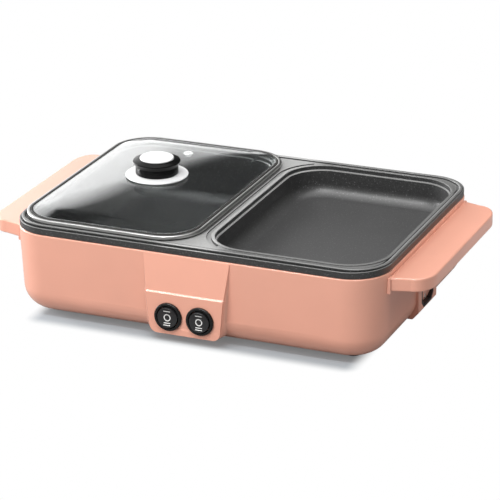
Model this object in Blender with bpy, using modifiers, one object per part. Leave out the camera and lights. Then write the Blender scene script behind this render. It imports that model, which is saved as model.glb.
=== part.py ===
"""Hot pot and grill cooker: one cast pan with two wells in a moulded housing, under a glass lid.

Metres, +Z up, +X to the right along the front, +Y to the back, feet on z = 0.
"""
import math

import bmesh
import bpy
from mathutils import Vector

# Driving dimensions
BODY_LENGTH = 0.312
BODY_DEPTH = 0.2306
BODY_CORNER = 0.0326
BODY_BASE_Z = 0.003
BODY_TOP_Z = 0.072
BODY_DRAFT = math.radians(2.5)
BODY_FILLET = 0.020
BODY_WALL = 0.0022
FLANGE_Z = 0.0782
GRILL_DEPTH = 0.024
POT_DEPTH = 0.045
WELL_GAP = 0.0148
WELL_END = 0.0075
WELL_SIDE = 0.0134
WELL_CORNER = 0.032
HANDLE_REACH = 0.030
SWITCH_SPACING = 0.0266
SWITCH_Z = 0.0227
SWITCH_FLANGE = 0.023
LID_LENGTH = 0.1506
LID_DEPTH = 0.217

# Clearances
GAP = 0.0003
RUN = 0.00035
OVERRUN = 0.004
MERGE = 0.000005

# Mesh fineness, as counts
CORNER_STEPS = 6
ARC_STEPS = 4
ROUND_STEPS = 32
SMALL_STEPS = 12
BORDER_STEPS = 3
CROWN_STEPS = 4

# Housing details
BASE_FLAT = 0.017
LIP = 0.012
BOSS_RADIUS = 0.004
BOSS_HEIGHT = 0.0058
SCREW_INSET = 0.046
COVER_THICK = 0.0017

# Control boss on the front wall
PANEL_TOP_HALF = 0.0363
PANEL_RIDGE_HALF = 0.0323
PANEL_LOW_HALF = 0.0297
PANEL_RIDGE_Z = 0.0411
PANEL_PROUD = 0.0055
PANEL_TOP_PROUD = 0.00015
PANEL_BOTTOM_Z = 0.008
PANEL_CORNER = 0.0065
PANEL_TOP_DROP = 0.001
PANEL_SPLAY = 0.001

# Pan details
PAN_REVEAL = 0.0004
SKIRT_WIDTH = 0.003
FLANGE_THICK = 0.003
LIP_RISE = 0.001
LIP_WIDTH = 0.001
LIP_EASE = 0.0004
BEAD_END = 0.0027
BEAD_SIDE = 0.0056
BEAD_WIDTH = 0.0030
BEAD_RISE = 0.0010
RIDGE_WIDTH = 0.0030
RIDGE_RISE = 0.00075
RIDGE_EASE = 0.0006
STEP_DRAFT = 0.0002
STEP_DROP = 0.0031
STEP_LEDGE = 0.0012
WELL_DRAFT = math.radians(4)
COVE = 0.011
PAN_WALL = 0.0025
WEB_GROOVE_WIDTH = 0.0038
WEB_GROOVE_DEPTH = 0.0010
WEB_GROOVE_SPAN = 0.020

# Handles
HANDLE_THICK = 0.0108
HANDLE_LOW_Z = 0.0572
HANDLE_ROOT_HALF = 0.0895
HANDLE_WAIST_HALF = 0.0855
HANDLE_TIP_HALF = 0.065
HANDLE_FLANGE_HALF = 0.0935
HANDLE_FLANGE_THICK = 0.002
HANDLE_FLANGE_RISE = 0.0012
HANDLE_FLANGE_DROP = 0.0030
HANDLE_EDGE = 0.0008
HANDLE_SCREW_Y = 0.050

# Mains inlet
INLET_PAD_HALF = 0.0215
INLET_PAD_LOW_Z = 0.0126
INLET_CHAMFER_Z = 0.0065
INLET_CHAMFER_X = 0.0052
INLET_BLOCK_DEPTH = 0.012
HOOD_BLOCK_DEPTH = 0.006
HOOD_REACH = 0.019
HOOD_LOW_Z = 0.042
HOOD_ROUND = 0.008
INLET_WIDTH = 0.028
INLET_HEIGHT = 0.020
INLET_Z = 0.023
INLET_CORNER = 0.0055
INLET_RIM = 0.0022
INLET_LENGTH = 0.022
SOCKET_DEPTH = 0.016
PIN_WIDTH = 0.004
PIN_THICK = 0.002
PIN_SPACING = 0.014
PIN_EARTH_DROP = 0.0035
PIN_FREE = 0.014
PIN_TAIL = 0.006

# Switches
SWITCH_HOLE_RADIUS = 0.010
SWITCH_BARREL = 0.014
SWITCH_FLANGE_THICK = 0.0020
ROCKER_RADIUS = 0.00825
ROCKER_THICK = 0.0062
ROCKER_PROUD = 0.0016
ROCKER_CLEAR = 0.0008
ROCKER_DISH_RADIUS = 0.022
ROCKER_DISH_DEPTH = 0.0014
TRUNNION_RADIUS = 0.0011
TRUNNION_DEPTH = 0.0026
SWITCH_WELL = 0.0075
SWITCH_EASE = 0.0006
BLADE_WIDTH = 0.0048
BLADE_THICK = 0.0008
BLADE_LENGTH = 0.0075
BLADE_PITCH = 0.0052
BLADE_PLATE = 0.0012

# Lid
LID_SHIFT = 0.00115
LID_CORNER = 0.032
LID_BAND_WIDTH = 0.0029
LID_BAND_HEIGHT = 0.00275
LID_BAND_SHELF = 0.0065
LID_BAND_SHELF_THICK = 0.00065
LID_BAND_EASE = 0.0004
GASKET_WIDTH = 0.0010
GASKET_HEIGHT = 0.0022
GLASS_THICK = 0.0028
GLASS_BORDER = 0.014
GLASS_BORDER_RISE = 0.0040
GLASS_CROWN = 0.0030
KNOB_BASE_RADIUS = 0.0255
KNOB_BASE_THICK = 0.0016
KNOB_WAIST_RADIUS = 0.01735
KNOB_WAIST_HEIGHT = 0.0065
KNOB_HEAD_RADIUS = 0.01925
KNOB_HEAD_HEIGHT = 0.0102
KNOB_HEIGHT = 0.0125
KNOB_RIB = 0.0004
KNOB_CAP_RADIUS = 0.0138
KNOB_CAP_SEAT = 0.0016
KNOB_CAP_RISE = 0.0014
KNOB_SCREW_RADIUS = 0.0019
KNOB_SCREW_LENGTH = 0.0125
KNOB_SCREW_HEAD_RADIUS = 0.0045
KNOB_SCREW_HEAD = 0.0022
VENT_X = 0.0102
VENT_Y = 0.084
VENT_RADIUS = 0.004
VENT_BORE = 0.0016
VENT_STEM = 0.0028
VENT_FLANGE = 0.0009

# Feet and screws
FOOT_RADIUS = 0.007
FOOT_PEG_RADIUS = 0.002
FOOT_PEG_REACH = 0.0012
SCREW_RADIUS = 0.0015
SCREW_HEAD_RADIUS = 0.003
SCREW_HEAD = 0.0017
HANDLE_SCREW_GRIP = 0.010

# Heating
ELEMENT_RADIUS = 0.0033
ELEMENT_HALF_X = 0.044
ELEMENT_HALF_Y = 0.066
ELEMENT_CORNER = 0.020
ELEMENT_GAP_HALF = 0.012
ELEMENT_TAIL = 0.008
CLIP_Y = 0.036
CLIP_WIDTH = 0.012
CLIP_THICK = 0.0012
CLIP_OVERHANG = 0.005
STUD_RADIUS = 0.002
STUD_LENGTH = 0.0125
NUT_RADIUS = 0.004
NUT_THICK = 0.003
NUT_SIDES = 6
THERMOSTAT_RADIUS = 0.008
THERMOSTAT_CAP = 0.0045
THERMOSTAT_THICK = 0.009
FUSE_RADIUS = 0.0021
FUSE_LENGTH = 0.020
FUSE_OFFSET = 0.016
SHIELD_INLET_CLEAR = 0.016
SHIELD_WALL_CLEAR = 0.0413
SHIELD_CORNER = 0.010
SHIELD_THICK = 0.0008
SHIELD_WALL = 0.007

# Wiring
BLOCK_LENGTH = 0.030
BLOCK_WIDTH = 0.012
BLOCK_HEIGHT = 0.011
BLOCK_LEAD_CLEAR = 0.0605
BLOCK_WALL_CLEAR = 0.0293
LEAD_RADIUS = 0.0013
LEAD_PITCH = 0.0030
LEAD_INLET_CLEAR = 0.0115
LEAD_LOW_Z = 0.0092
LEAD_FALL = 0.012
LEAD_BEND = 0.005
BEND_STEPS = 5

# Sizes worked out from those above
HALF_X = BODY_LENGTH / 2
HALF_Y = BODY_DEPTH / 2
FOOT_HEIGHT = BODY_BASE_Z
DRAFT_RUN = (BODY_TOP_Z - BODY_BASE_Z - BODY_FILLET) * math.tan(BODY_DRAFT)
WELL_HALF_X = (BODY_LENGTH / 2 - WELL_END - WELL_GAP / 2) / 2
WELL_HALF_Y = HALF_Y - WELL_SIDE
WELL_X = WELL_GAP / 2 + WELL_HALF_X
PANEL_FACE = HALF_Y + PANEL_PROUD
SWITCH_X = SWITCH_SPACING / 2
FLANGE_FRONT = PANEL_FACE + GAP + SWITCH_FLANGE_THICK
FRONT_REACH = FLANGE_FRONT + ROCKER_PROUD
CENTRE_SHIFT = (FRONT_REACH - HALF_Y) / 2
SHIELD_HALF_X = HALF_X - INLET_LENGTH - SHIELD_INLET_CLEAR
SHIELD_HALF_Y = HALF_Y - SHIELD_WALL_CLEAR
LEAD_TURN_X = HALF_X - INLET_LENGTH - LEAD_INLET_CLEAR
BLOCK_X = LEAD_TURN_X - BLOCK_LEAD_CLEAR
BLOCK_Y = HALF_Y - BLOCK_WALL_CLEAR
LID_X = LID_SHIFT - WELL_X
LID_LOW_Z = FLANGE_Z + BEAD_RISE + GAP
POT_FLOOR_Z = FLANGE_Z - POT_DEPTH
GRILL_FLOOR_Z = FLANGE_Z - GRILL_DEPTH
REBATE_Z = BODY_BASE_Z + COVER_THICK + GAP
BASE_FLAT_INSET = DRAFT_RUN + BODY_FILLET
OPENING_INSET = BASE_FLAT_INSET + BASE_FLAT
LIP_TOP_Z = REBATE_Z + BODY_WALL
BOSS_TOP_Z = LIP_TOP_Z + BOSS_HEIGHT

COLOURS = {
    "pink_plastic": ((0.80, 0.41, 0.30), 0.42, 0.0),
    "pan_coating": ((0.055, 0.055, 0.057), 0.38, 0.2),
    "black_plastic": ((0.016, 0.017, 0.018), 0.30, 0.0),
    "chrome": ((0.85, 0.86, 0.87), 0.10, 1.0),
    "steel": ((0.60, 0.60, 0.61), 0.30, 1.0),
    "brass": ((0.78, 0.60, 0.28), 0.28, 1.0),
    "glass": ((0.80, 0.84, 0.84), 0.05, 0.0),
    "rubber": ((0.030, 0.030, 0.032), 0.75, 0.0),
    "ceramic": ((0.85, 0.84, 0.80), 0.40, 0.0),
    "lead_brown": ((0.13, 0.05, 0.02), 0.45, 0.0),
    "lead_blue": ((0.03, 0.11, 0.40), 0.45, 0.0),
    "lead_green": ((0.10, 0.36, 0.06), 0.45, 0.0),
}

KNOB_NODES = ("knob_base", "knob_body", "knob_cap", "knob_screw")
LID_NODES = ("lid_rim", "lid_gasket", "lid_glass", "vent_eyelet") + KNOB_NODES


def clear_scene():
    for item in list(bpy.data.objects):
        bpy.data.objects.remove(item, do_unlink=True)


def make_collection(name):
    group = bpy.data.collections.new(name)
    bpy.context.scene.collection.children.link(group)
    return group


clear_scene()
PARTS = make_collection("hot_pot_grill_combo")
CUTTERS = make_collection("cutters")
CUTTERS.hide_render = True


def material(name):
    """One Principled material for each finish."""
    found = bpy.data.materials.get(name)
    if found:
        return found
    colour, roughness, metallic = COLOURS[name]
    made = bpy.data.materials.new(name)
    made.use_nodes = True
    shader = made.node_tree.nodes["Principled BSDF"]
    shader.inputs["Base Color"].default_value = (*colour, 1.0)
    shader.inputs["Roughness"].default_value = roughness
    shader.inputs["Metallic"].default_value = metallic
    made.diffuse_color = (*colour, 1.0)
    return made


def keep(name, mesh, finish, place=(0, 0, 0)):
    """Put a mesh in the scene as a named part."""
    item = bpy.data.objects.new(name, mesh)
    item.location = place
    PARTS.objects.link(item)
    mesh.materials.clear()
    mesh.materials.append(material(finish))
    mesh.shade_smooth()
    mesh.set_sharp_from_angle(angle=math.radians(32))
    return item


def mesh_from(name, build):
    """Run a bmesh builder and give back its mesh with all faces out."""
    work = bmesh.new()
    build(work)
    bmesh.ops.recalc_face_normals(work, faces=work.faces)
    mesh = bpy.data.meshes.new(name)
    work.to_mesh(mesh)
    work.free()
    return mesh


def guide(name, mesh, place=(0, 0, 0)):
    """Put a mesh in the cutters' collection."""
    item = bpy.data.objects.new(name, mesh)
    item.location = place
    item.hide_render = True
    item.display_type = "WIRE"
    CUTTERS.objects.link(item)
    return item


def combine(target, tool, operation):
    """Apply one Boolean to a part and take the tool away."""
    step = target.modifiers.new(operation.lower(), "BOOLEAN")
    step.operation = operation
    step.solver = "EXACT"
    step.object = tool
    bpy.context.view_layer.update()
    view = target.evaluated_get(bpy.context.evaluated_depsgraph_get())
    result = bpy.data.meshes.new_from_object(view)
    target.modifiers.clear()
    finishes = list(target.data.materials)
    weld(result)
    target.data = result
    result.materials.clear()
    for finish in finishes:
        result.materials.append(finish)
    bpy.data.objects.remove(tool, do_unlink=True)
    return target


def weld(mesh):
    """Merge points that all but meet."""
    work = bmesh.new()
    work.from_mesh(mesh)
    bmesh.ops.remove_doubles(work, verts=work.verts, dist=MERGE)
    bmesh.ops.dissolve_degenerate(work, edges=work.edges, dist=MERGE)
    work.to_mesh(mesh)
    work.free()


def cut(target, tool):
    return combine(target, tool, "DIFFERENCE")


def join(target, tool):
    return combine(target, tool, "UNION")


def cuboid(low, high):
    """A box between two corners, from the cube primitive."""
    def build(work):
        bmesh.ops.create_cube(work, size=1.0)
        for vert in work.verts:
            for axis in range(3):
                middle = (low[axis] + high[axis]) / 2
                vert.co[axis] = middle + vert.co[axis] * (high[axis] - low[axis])
    return mesh_from("cuboid", build)


def rod(radius, start, end, steps=SMALL_STEPS):
    """A cylinder between two points, from the cone primitive."""
    start = Vector(start)
    run = Vector(end) - start

    def build(work):
        bmesh.ops.create_cone(
            work, cap_ends=True, segments=steps, radius1=radius, radius2=radius, depth=run.length
        )
        turn = run.to_track_quat("Z", "Y").to_matrix().to_4x4()
        bmesh.ops.transform(work, matrix=turn, verts=work.verts)
        bmesh.ops.translate(work, vec=start + run / 2, verts=work.verts)
    return mesh_from("rod", build)


def turned(profile, steps=ROUND_STEPS):
    """Spin a profile of radius and height about Z with a Screw modifier.

    The profile runs from axis to axis, or comes back to its first point to make a ring.
    """
    mesh = bpy.data.meshes.new("profile")
    ringed = profile[0] == profile[-1]
    points = [(radius, 0, height) for radius, height in profile[:len(profile) - ringed]]
    edges = [(index, index + 1) for index in range(len(points) - 1)]
    if ringed:
        edges.append((len(points) - 1, 0))
    mesh.from_pydata(points, edges, [])
    item = bpy.data.objects.new("turned", mesh)
    bpy.context.scene.collection.objects.link(item)
    spin = item.modifiers.new("spin", "SCREW")
    spin.steps = steps
    spin.render_steps = steps
    spin.use_merge_vertices = True
    spin.merge_threshold = MERGE
    bpy.context.view_layer.update()
    view = item.evaluated_get(bpy.context.evaluated_depsgraph_get())
    result = bpy.data.meshes.new_from_object(view)
    bpy.data.objects.remove(item, do_unlink=True)
    work = bmesh.new()
    work.from_mesh(result)
    bmesh.ops.recalc_face_normals(work, faces=work.faces)
    work.to_mesh(result)
    work.free()
    return result


def rounded(half_x, half_y, radius, steps=CORNER_STEPS):
    """Points round a rectangle with round corners, anticlockwise from the right-hand front corner."""
    points = []
    corners = ((1, -1, 270), (1, 1, 0), (-1, 1, 90), (-1, -1, 180))
    for side_x, side_y, first in corners:
        for step in range(steps + 1):
            angle = math.radians(first + 90 * step / steps)
            x = side_x * (half_x - radius) + radius * math.cos(angle)
            y = side_y * (half_y - radius) + radius * math.sin(angle)
            points.append((x, y))
    return points


def rings(half_x, half_y, radius, profile):
    """Turn a profile of inset and height into rings, whose corners stay concentric."""
    smallest = radius / 8
    return [
        (half_x - inset, half_y - inset, max(radius - inset, smallest), height)
        for inset, height in profile
    ]


def loft(levels, closed=False, centre=(0, 0)):
    """Join rounded rectangles level by level, capped at both ends, or closed into one band."""
    def build(work):
        loops = []
        for half_x, half_y, radius, height in levels:
            corners = rounded(half_x, half_y, radius)
            loop = [work.verts.new((centre[0] + x, centre[1] + y, height)) for x, y in corners]
            loops.append(loop)
        pairs = list(zip(loops, loops[1:]))
        if closed:
            pairs.append((loops[-1], loops[0]))
        for lower, upper in pairs:
            for index in range(len(lower)):
                after = (index + 1) % len(lower)
                work.faces.new((lower[index], lower[after], upper[after], upper[index]))
        if not closed:
            work.faces.new(loops[0])
            work.faces.new(loops[-1])
    return mesh_from("loft", build)


def arc(centre_u, centre_v, radius, first, last, steps=ARC_STEPS):
    """Points along an arc, with angles in degrees."""
    points = []
    for step in range(steps + 1):
        angle = math.radians(first + (last - first) * step / steps)
        points.append((centre_u + radius * math.cos(angle), centre_v + radius * math.sin(angle)))
    return points


def plate(outline, thickness, name="plate"):
    """A flat outline in X and Y with half its thickness above and below zero, from a filled curve."""
    curve = bpy.data.curves.new(name, "CURVE")
    curve.dimensions = "2D"
    curve.fill_mode = "BOTH"
    curve.extrude = thickness / 2
    line = curve.splines.new("POLY")
    line.points.add(len(outline) - 1)
    for point, (x, y) in zip(line.points, outline):
        point.co = (x, y, 0, 1)
    line.use_cyclic_u = True
    return curve_mesh(curve)


def tube(points, radius, bevel_resolution=2):
    """A round tube along open points, from a curve with filled caps."""
    curve = bpy.data.curves.new("tube", "CURVE")
    curve.dimensions = "3D"
    curve.bevel_depth = radius
    curve.bevel_resolution = bevel_resolution
    curve.use_fill_caps = True
    line = curve.splines.new("POLY")
    line.points.add(len(points) - 1)
    for point, place in zip(line.points, points):
        point.co = (*place, 1)
    return curve_mesh(curve)


def curve_mesh(curve):
    """Turn a curve into a closed mesh."""
    item = bpy.data.objects.new("curve", curve)
    bpy.context.scene.collection.objects.link(item)
    bpy.context.view_layer.update()
    view = item.evaluated_get(bpy.context.evaluated_depsgraph_get())
    mesh = bpy.data.meshes.new_from_object(view)
    bpy.data.objects.remove(item, do_unlink=True)
    work = bmesh.new()
    work.from_mesh(mesh)
    bmesh.ops.remove_doubles(work, verts=work.verts, dist=MERGE)
    bmesh.ops.recalc_face_normals(work, faces=work.faces)
    work.to_mesh(mesh)
    work.free()
    return mesh


def turn_mesh(mesh, columns, place=(0, 0, 0)):
    """Map a mesh's X, Y and Z onto three directions, then move it."""
    for vert in mesh.vertices:
        x, y, z = vert.co
        moved = Vector(columns[0]) * x + Vector(columns[1]) * y + Vector(columns[2]) * z
        vert.co = moved + Vector(place)
    return mesh


def wall_inset(height):
    """How far the housing's outer surface lies inside its top outline at a height."""
    drafted = (BODY_TOP_Z - height) * math.tan(BODY_DRAFT)
    fillet_top = BODY_BASE_Z + BODY_FILLET
    if height >= fillet_top:
        return drafted
    drop = fillet_top - height
    return DRAFT_RUN + BODY_FILLET - math.sqrt(BODY_FILLET ** 2 - drop ** 2)


def housing_profile():
    """The housing's closed section, as inset and height: up the outside, down the inside."""
    outer_centre = DRAFT_RUN + BODY_FILLET
    fillet_top = BODY_BASE_Z + BODY_FILLET
    outside = [(OPENING_INSET, REBATE_Z), (OPENING_INSET, BODY_BASE_Z)]
    outside += arc(outer_centre, fillet_top, BODY_FILLET, 270, 180)
    outside.append((0, BODY_TOP_Z))
    inside = [(BODY_WALL, BODY_TOP_Z)]
    inside += arc(outer_centre, fillet_top, BODY_FILLET - BODY_WALL, 180, 270)
    inside.append((OPENING_INSET - BODY_WALL, BODY_BASE_Z + BODY_WALL))
    inside.append((OPENING_INSET - BODY_WALL, LIP_TOP_Z))
    inside.append((OPENING_INSET + LIP, LIP_TOP_Z))
    inside.append((OPENING_INSET + LIP, REBATE_Z))
    return outside + inside


def panel_block(offset, depth, top):
    """The control boss as a stack of four-cornered levels, drawn in by an offset and set into the wall."""
    face = PANEL_FACE - offset
    corner = PANEL_CORNER
    low = PANEL_BOTTOM_Z + offset
    levels = [(PANEL_LOW_HALF - corner - offset, low, face)]
    for step in range(1, ARC_STEPS + 1):
        angle = math.radians(90 * step / ARC_STEPS)
        half = PANEL_LOW_HALF - offset - corner * (1 - math.sin(angle))
        levels.append((half, low + corner * (1 - math.cos(angle)), face))
    levels.append((PANEL_RIDGE_HALF - offset, PANEL_RIDGE_Z, face))
    slope = (PANEL_PROUD - PANEL_TOP_PROUD) / (BODY_TOP_Z - PANEL_RIDGE_Z)
    widen = (PANEL_TOP_HALF - PANEL_RIDGE_HALF) / (BODY_TOP_Z - PANEL_RIDGE_Z)
    rise = top - PANEL_RIDGE_Z
    levels.append((PANEL_RIDGE_HALF - offset + widen * rise, top, face - slope * rise))

    def build(work):
        loops = []
        for half, height, front in levels:
            wide = half + PANEL_SPLAY
            back = HALF_Y - wall_inset(height) - depth
            places = ((-half, -front), (half, -front), (wide, -back), (-wide, -back))
            loops.append([work.verts.new((x, y, height)) for x, y in places])
        for lower, upper in zip(loops, loops[1:]):
            for index in range(4):
                after = (index + 1) % 4
                work.faces.new((lower[index], lower[after], upper[after], upper[index]))
        work.faces.new(loops[0])
        work.faces.new(loops[-1])
    return mesh_from("panel", build)


def screw_places():
    return [(x * (HALF_X - SCREW_INSET), y * (HALF_Y - SCREW_INSET)) for x in (-1, 1) for y in (-1, 1)]


def foot_places():
    inset = BASE_FLAT_INSET + BASE_FLAT / 2
    return [(x * (HALF_X - inset), y * (HALF_Y - inset)) for x in (-1, 1) for y in (-1, 1)]


def handle_screw_places():
    return [(x, y * HANDLE_SCREW_Y) for x in (-1, 1) for y in (-1, 1)]


def make_housing():
    levels = rings(HALF_X, HALF_Y, BODY_CORNER, housing_profile())
    shell = keep("housing_shell", loft(levels, closed=True), "pink_plastic")
    top = BODY_TOP_Z - PANEL_TOP_DROP
    join(shell, guide("boss", panel_block(0, BODY_WALL / 2, top)))
    cut(shell, guide("boss_hollow", panel_block(BODY_WALL, BODY_WALL + OVERRUN, top - BODY_WALL)))
    for side in (-1, 1):
        start = (side * SWITCH_X, -PANEL_FACE - OVERRUN, SWITCH_Z)
        end = (side * SWITCH_X, -PANEL_FACE + BODY_WALL + OVERRUN, SWITCH_Z)
        cut(shell, guide("switch_hole", rod(SWITCH_HOLE_RADIUS, start, end, ROUND_STEPS)))
    for x, y in screw_places():
        foot = LIP_TOP_Z - BODY_WALL / 2
        join(shell, guide("screw_boss", rod(BOSS_RADIUS, (x, y, foot), (x, y, BOSS_TOP_Z))))
        bore = SCREW_RADIUS + GAP
        cut(shell, guide("screw_bore", rod(bore, (x, y, BODY_BASE_Z), (x, y, BOSS_TOP_Z - BODY_WALL / 2))))
    for x, y in foot_places():
        bore = FOOT_PEG_RADIUS + GAP
        cut(shell, guide("peg_bore", rod(bore, (x, y, 0), (x, y, BODY_BASE_Z + BODY_WALL + OVERRUN))))
    screw_z = HANDLE_LOW_Z + HANDLE_THICK / 2
    for side, y in handle_screw_places():
        start = (side * (HALF_X - BODY_WALL - OVERRUN), y, screw_z)
        end = (side * (HALF_X + OVERRUN), y, screw_z)
        cut(shell, guide("handle_bore", rod(SCREW_RADIUS + GAP, start, end)))
    half = INLET_PAD_HALF + GAP
    low = (HALF_X - INLET_BLOCK_DEPTH - OVERRUN, -half, INLET_CHAMFER_Z - GAP)
    high = (HALF_X + OVERRUN, half, HANDLE_LOW_Z)
    cut(shell, guide("inlet_window", cuboid(low, high)))
    return shell


def handle_outline():
    """One handle seen from above, from the wall out: straight root, drawn-in waist, rounded tip."""
    root = HALF_X - BODY_CORNER / 2
    tip = HALF_X + HANDLE_REACH
    waist = HALF_X + HANDLE_REACH / 2
    half = [(root, HANDLE_ROOT_HALF), (HALF_X + HANDLE_FLANGE_THICK, HANDLE_ROOT_HALF)]
    reach = tip - waist
    fall = HANDLE_WAIST_HALF - HANDLE_TIP_HALF
    for step in range(CORNER_STEPS + 1):
        angle = math.radians(90 * step / CORNER_STEPS)
        half.append((waist + reach * math.sin(angle), HANDLE_TIP_HALF + fall * math.cos(angle)))
    mirrored = [(x, -y) for x, y in reversed(half)]
    return mirrored + half


def make_handle(name, side):
    middle = HANDLE_LOW_Z + HANDLE_THICK / 2
    grip = keep(name, plate(handle_outline(), HANDLE_THICK), "pink_plastic")
    turn_mesh(grip.data, ((1, 0, 0), (0, 1, 0), (0, 0, 1)), (0, 0, middle))
    soften(grip, HANDLE_EDGE)
    low = (HALF_X - BODY_CORNER / 2, -HANDLE_FLANGE_HALF, HANDLE_LOW_Z - HANDLE_FLANGE_DROP)
    high_z = HANDLE_LOW_Z + HANDLE_THICK + HANDLE_FLANGE_RISE
    high = (HALF_X + HANDLE_FLANGE_THICK, HANDLE_FLANGE_HALF, high_z)
    join(grip, guide("root_flange", cuboid(low, high)))
    wall = [(wall_inset(height) - GAP, height) for height in (HANDLE_LOW_Z - OVERRUN * 2, BODY_TOP_Z)]
    cut(grip, guide("wall", loft(rings(HALF_X, HALF_Y, BODY_CORNER, wall))))
    if side > 0:
        pad = INLET_PAD_HALF + GAP
        low = (HALF_X - OVERRUN, -pad, HANDLE_LOW_Z - OVERRUN * 2)
        cut(grip, guide("inlet_clearance", cuboid(low, (HALF_X + OVERRUN, pad, HANDLE_LOW_Z))))
    for y in (-HANDLE_SCREW_Y, HANDLE_SCREW_Y):
        start = (HALF_X - OVERRUN, y, middle)
        end = (HALF_X + HANDLE_SCREW_GRIP, y, middle)
        cut(grip, guide("screw_bore", rod(SCREW_RADIUS + GAP, start, end)))
    if side < 0:
        turn_mesh(grip.data, ((-1, 0, 0), (0, -1, 0), (0, 0, 1)))
    return grip


def soften(item, width, segments=2):
    """Round the sharp edges with a Bevel modifier."""
    bevel = item.modifiers.new("soft_edges", "BEVEL")
    bevel.width = width
    bevel.segments = segments
    bevel.limit_method = "ANGLE"
    bevel.angle_limit = math.radians(40)


def make_handle_screws():
    names = iter(("handle_screw_left_front", "handle_screw_left_back",
                  "handle_screw_right_front", "handle_screw_right_back"))
    middle = HANDLE_LOW_Z + HANDLE_THICK / 2
    inner = HALF_X - wall_inset(middle) - BODY_WALL - GAP
    for side, y in handle_screw_places():
        start = (side * (inner - SCREW_HEAD), y, middle)
        head = guide("head", rod(SCREW_HEAD_RADIUS, start, (side * inner, y, middle)))
        start = (side * (inner - SCREW_HEAD / 2), y, middle)
        end = (side * (HALF_X + HANDLE_SCREW_GRIP - GAP), y, middle)
        screw = keep(next(names), rod(SCREW_RADIUS, start, end), "steel")
        join(screw, head)


def make_bottom_cover():
    half_x = HALF_X - OPENING_INSET - GAP
    half_y = HALF_Y - OPENING_INSET - GAP
    heights = (BODY_BASE_Z, BODY_BASE_Z + COVER_THICK)
    levels = [(half_x, half_y, BOSS_RADIUS, height) for height in heights]
    cover = keep("bottom_cover", loft(levels), "steel")
    for x, y in screw_places():
        cut(cover, guide("bore", rod(SCREW_RADIUS + GAP, (x, y, 0), (x, y, LIP_TOP_Z))))
    return cover


def make_feet():
    for index, (x, y) in enumerate(foot_places(), 1):
        top = FOOT_HEIGHT - GAP
        peg_top = BODY_BASE_Z + BODY_WALL + FOOT_PEG_REACH
        profile = [(0, peg_top), (FOOT_PEG_RADIUS, peg_top), (FOOT_PEG_RADIUS, top), (FOOT_RADIUS, top),
                   (FOOT_RADIUS, 0), (0, 0)]
        keep(f"foot_{index}", turned(profile, SMALL_STEPS), "rubber", (x, y, 0))


def make_cover_screws():
    for index, (x, y) in enumerate(screw_places(), 1):
        under = BODY_BASE_Z - GAP
        top = BOSS_TOP_Z - BODY_WALL / 2 - GAP
        profile = [(0, top), (SCREW_RADIUS, top), (SCREW_RADIUS, under), (SCREW_HEAD_RADIUS, under),
                   (SCREW_HEAD_RADIUS, under - SCREW_HEAD), (0, under - SCREW_HEAD)]
        keep(f"cover_screw_{index}", turned(profile, SMALL_STEPS), "steel", (x, y, 0))


def bend_path(points, radius):
    """Round every inner corner of a run of points."""
    places = [Vector(point) for point in points]
    path = [places[0]]
    for before, corner, after in zip(places, places[1:], places[2:]):
        arrive = (before - corner).normalized() * min(radius, (before - corner).length / 2)
        leave = (after - corner).normalized() * min(radius, (after - corner).length / 2)
        for step in range(BEND_STEPS + 1):
            share = step / BEND_STEPS
            first = corner + arrive * (1 - share)
            second = corner + leave * share
            path.append(first.lerp(second, share))
    path.append(places[-1])
    return path


def make_inlet_housing():
    tip = HALF_X + HOOD_REACH
    back = HALF_X - INLET_BLOCK_DEPTH
    hood_back = HALF_X - HOOD_BLOCK_DEPTH
    top = HANDLE_LOW_Z - GAP
    chamfer = HALF_X - INLET_CHAMFER_X
    outline = [(back, INLET_CHAMFER_Z), (chamfer, INLET_CHAMFER_Z), (HALF_X, INLET_PAD_LOW_Z)]
    outline.append((HALF_X, HOOD_LOW_Z))
    outline += arc(tip - HOOD_ROUND, HOOD_LOW_Z + HOOD_ROUND, HOOD_ROUND, 270, 360)
    step = HOOD_LOW_Z - HOOD_ROUND / 2
    outline += [(tip, top), (hood_back, top), (hood_back, step), (back, step)]
    block = keep("inlet_housing", plate(outline, INLET_PAD_HALF * 2), "pink_plastic")
    turn_mesh(block.data, ((1, 0, 0), (0, 0, 1), (0, -1, 0)))
    turned_axes = ((0, 1, 0), (0, 0, 1), (1, 0, 0))
    hole = turn_mesh(plate(inlet_outline(-GAP), OVERRUN * 10), turned_axes, (HALF_X, 0, INLET_Z))
    cut(block, guide("inlet_hole", hole))
    return block


def inlet_outline(offset):
    """The inlet's face in Y and Z: a rectangle whose lower corners are cut off."""
    half_y = INLET_WIDTH / 2 - offset
    half_z = INLET_HEIGHT / 2 - offset
    bevel = INLET_CORNER - offset / 2
    low = [(-half_y + bevel, -half_z), (half_y - bevel, -half_z)]
    return low + [(half_y, -half_z + bevel), (half_y, half_z),
            (-half_y, half_z), (-half_y, -half_z + bevel)]


def pin_boxes(margin):
    """The three pins as corner pairs, widened by a margin."""
    front = HALF_X - SOCKET_DEPTH + PIN_FREE
    back = HALF_X - INLET_LENGTH - PIN_TAIL
    boxes = []
    for side in (-1, 0, 1):
        y = side * PIN_SPACING / 2
        z = INLET_Z - (0 if side else PIN_EARTH_DROP)
        low = (back, y - PIN_THICK / 2 - margin, z - PIN_WIDTH / 2 - margin)
        high = (front, y + PIN_THICK / 2 + margin, z + PIN_WIDTH / 2 + margin)
        boxes.append((low, high))
    return boxes


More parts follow.
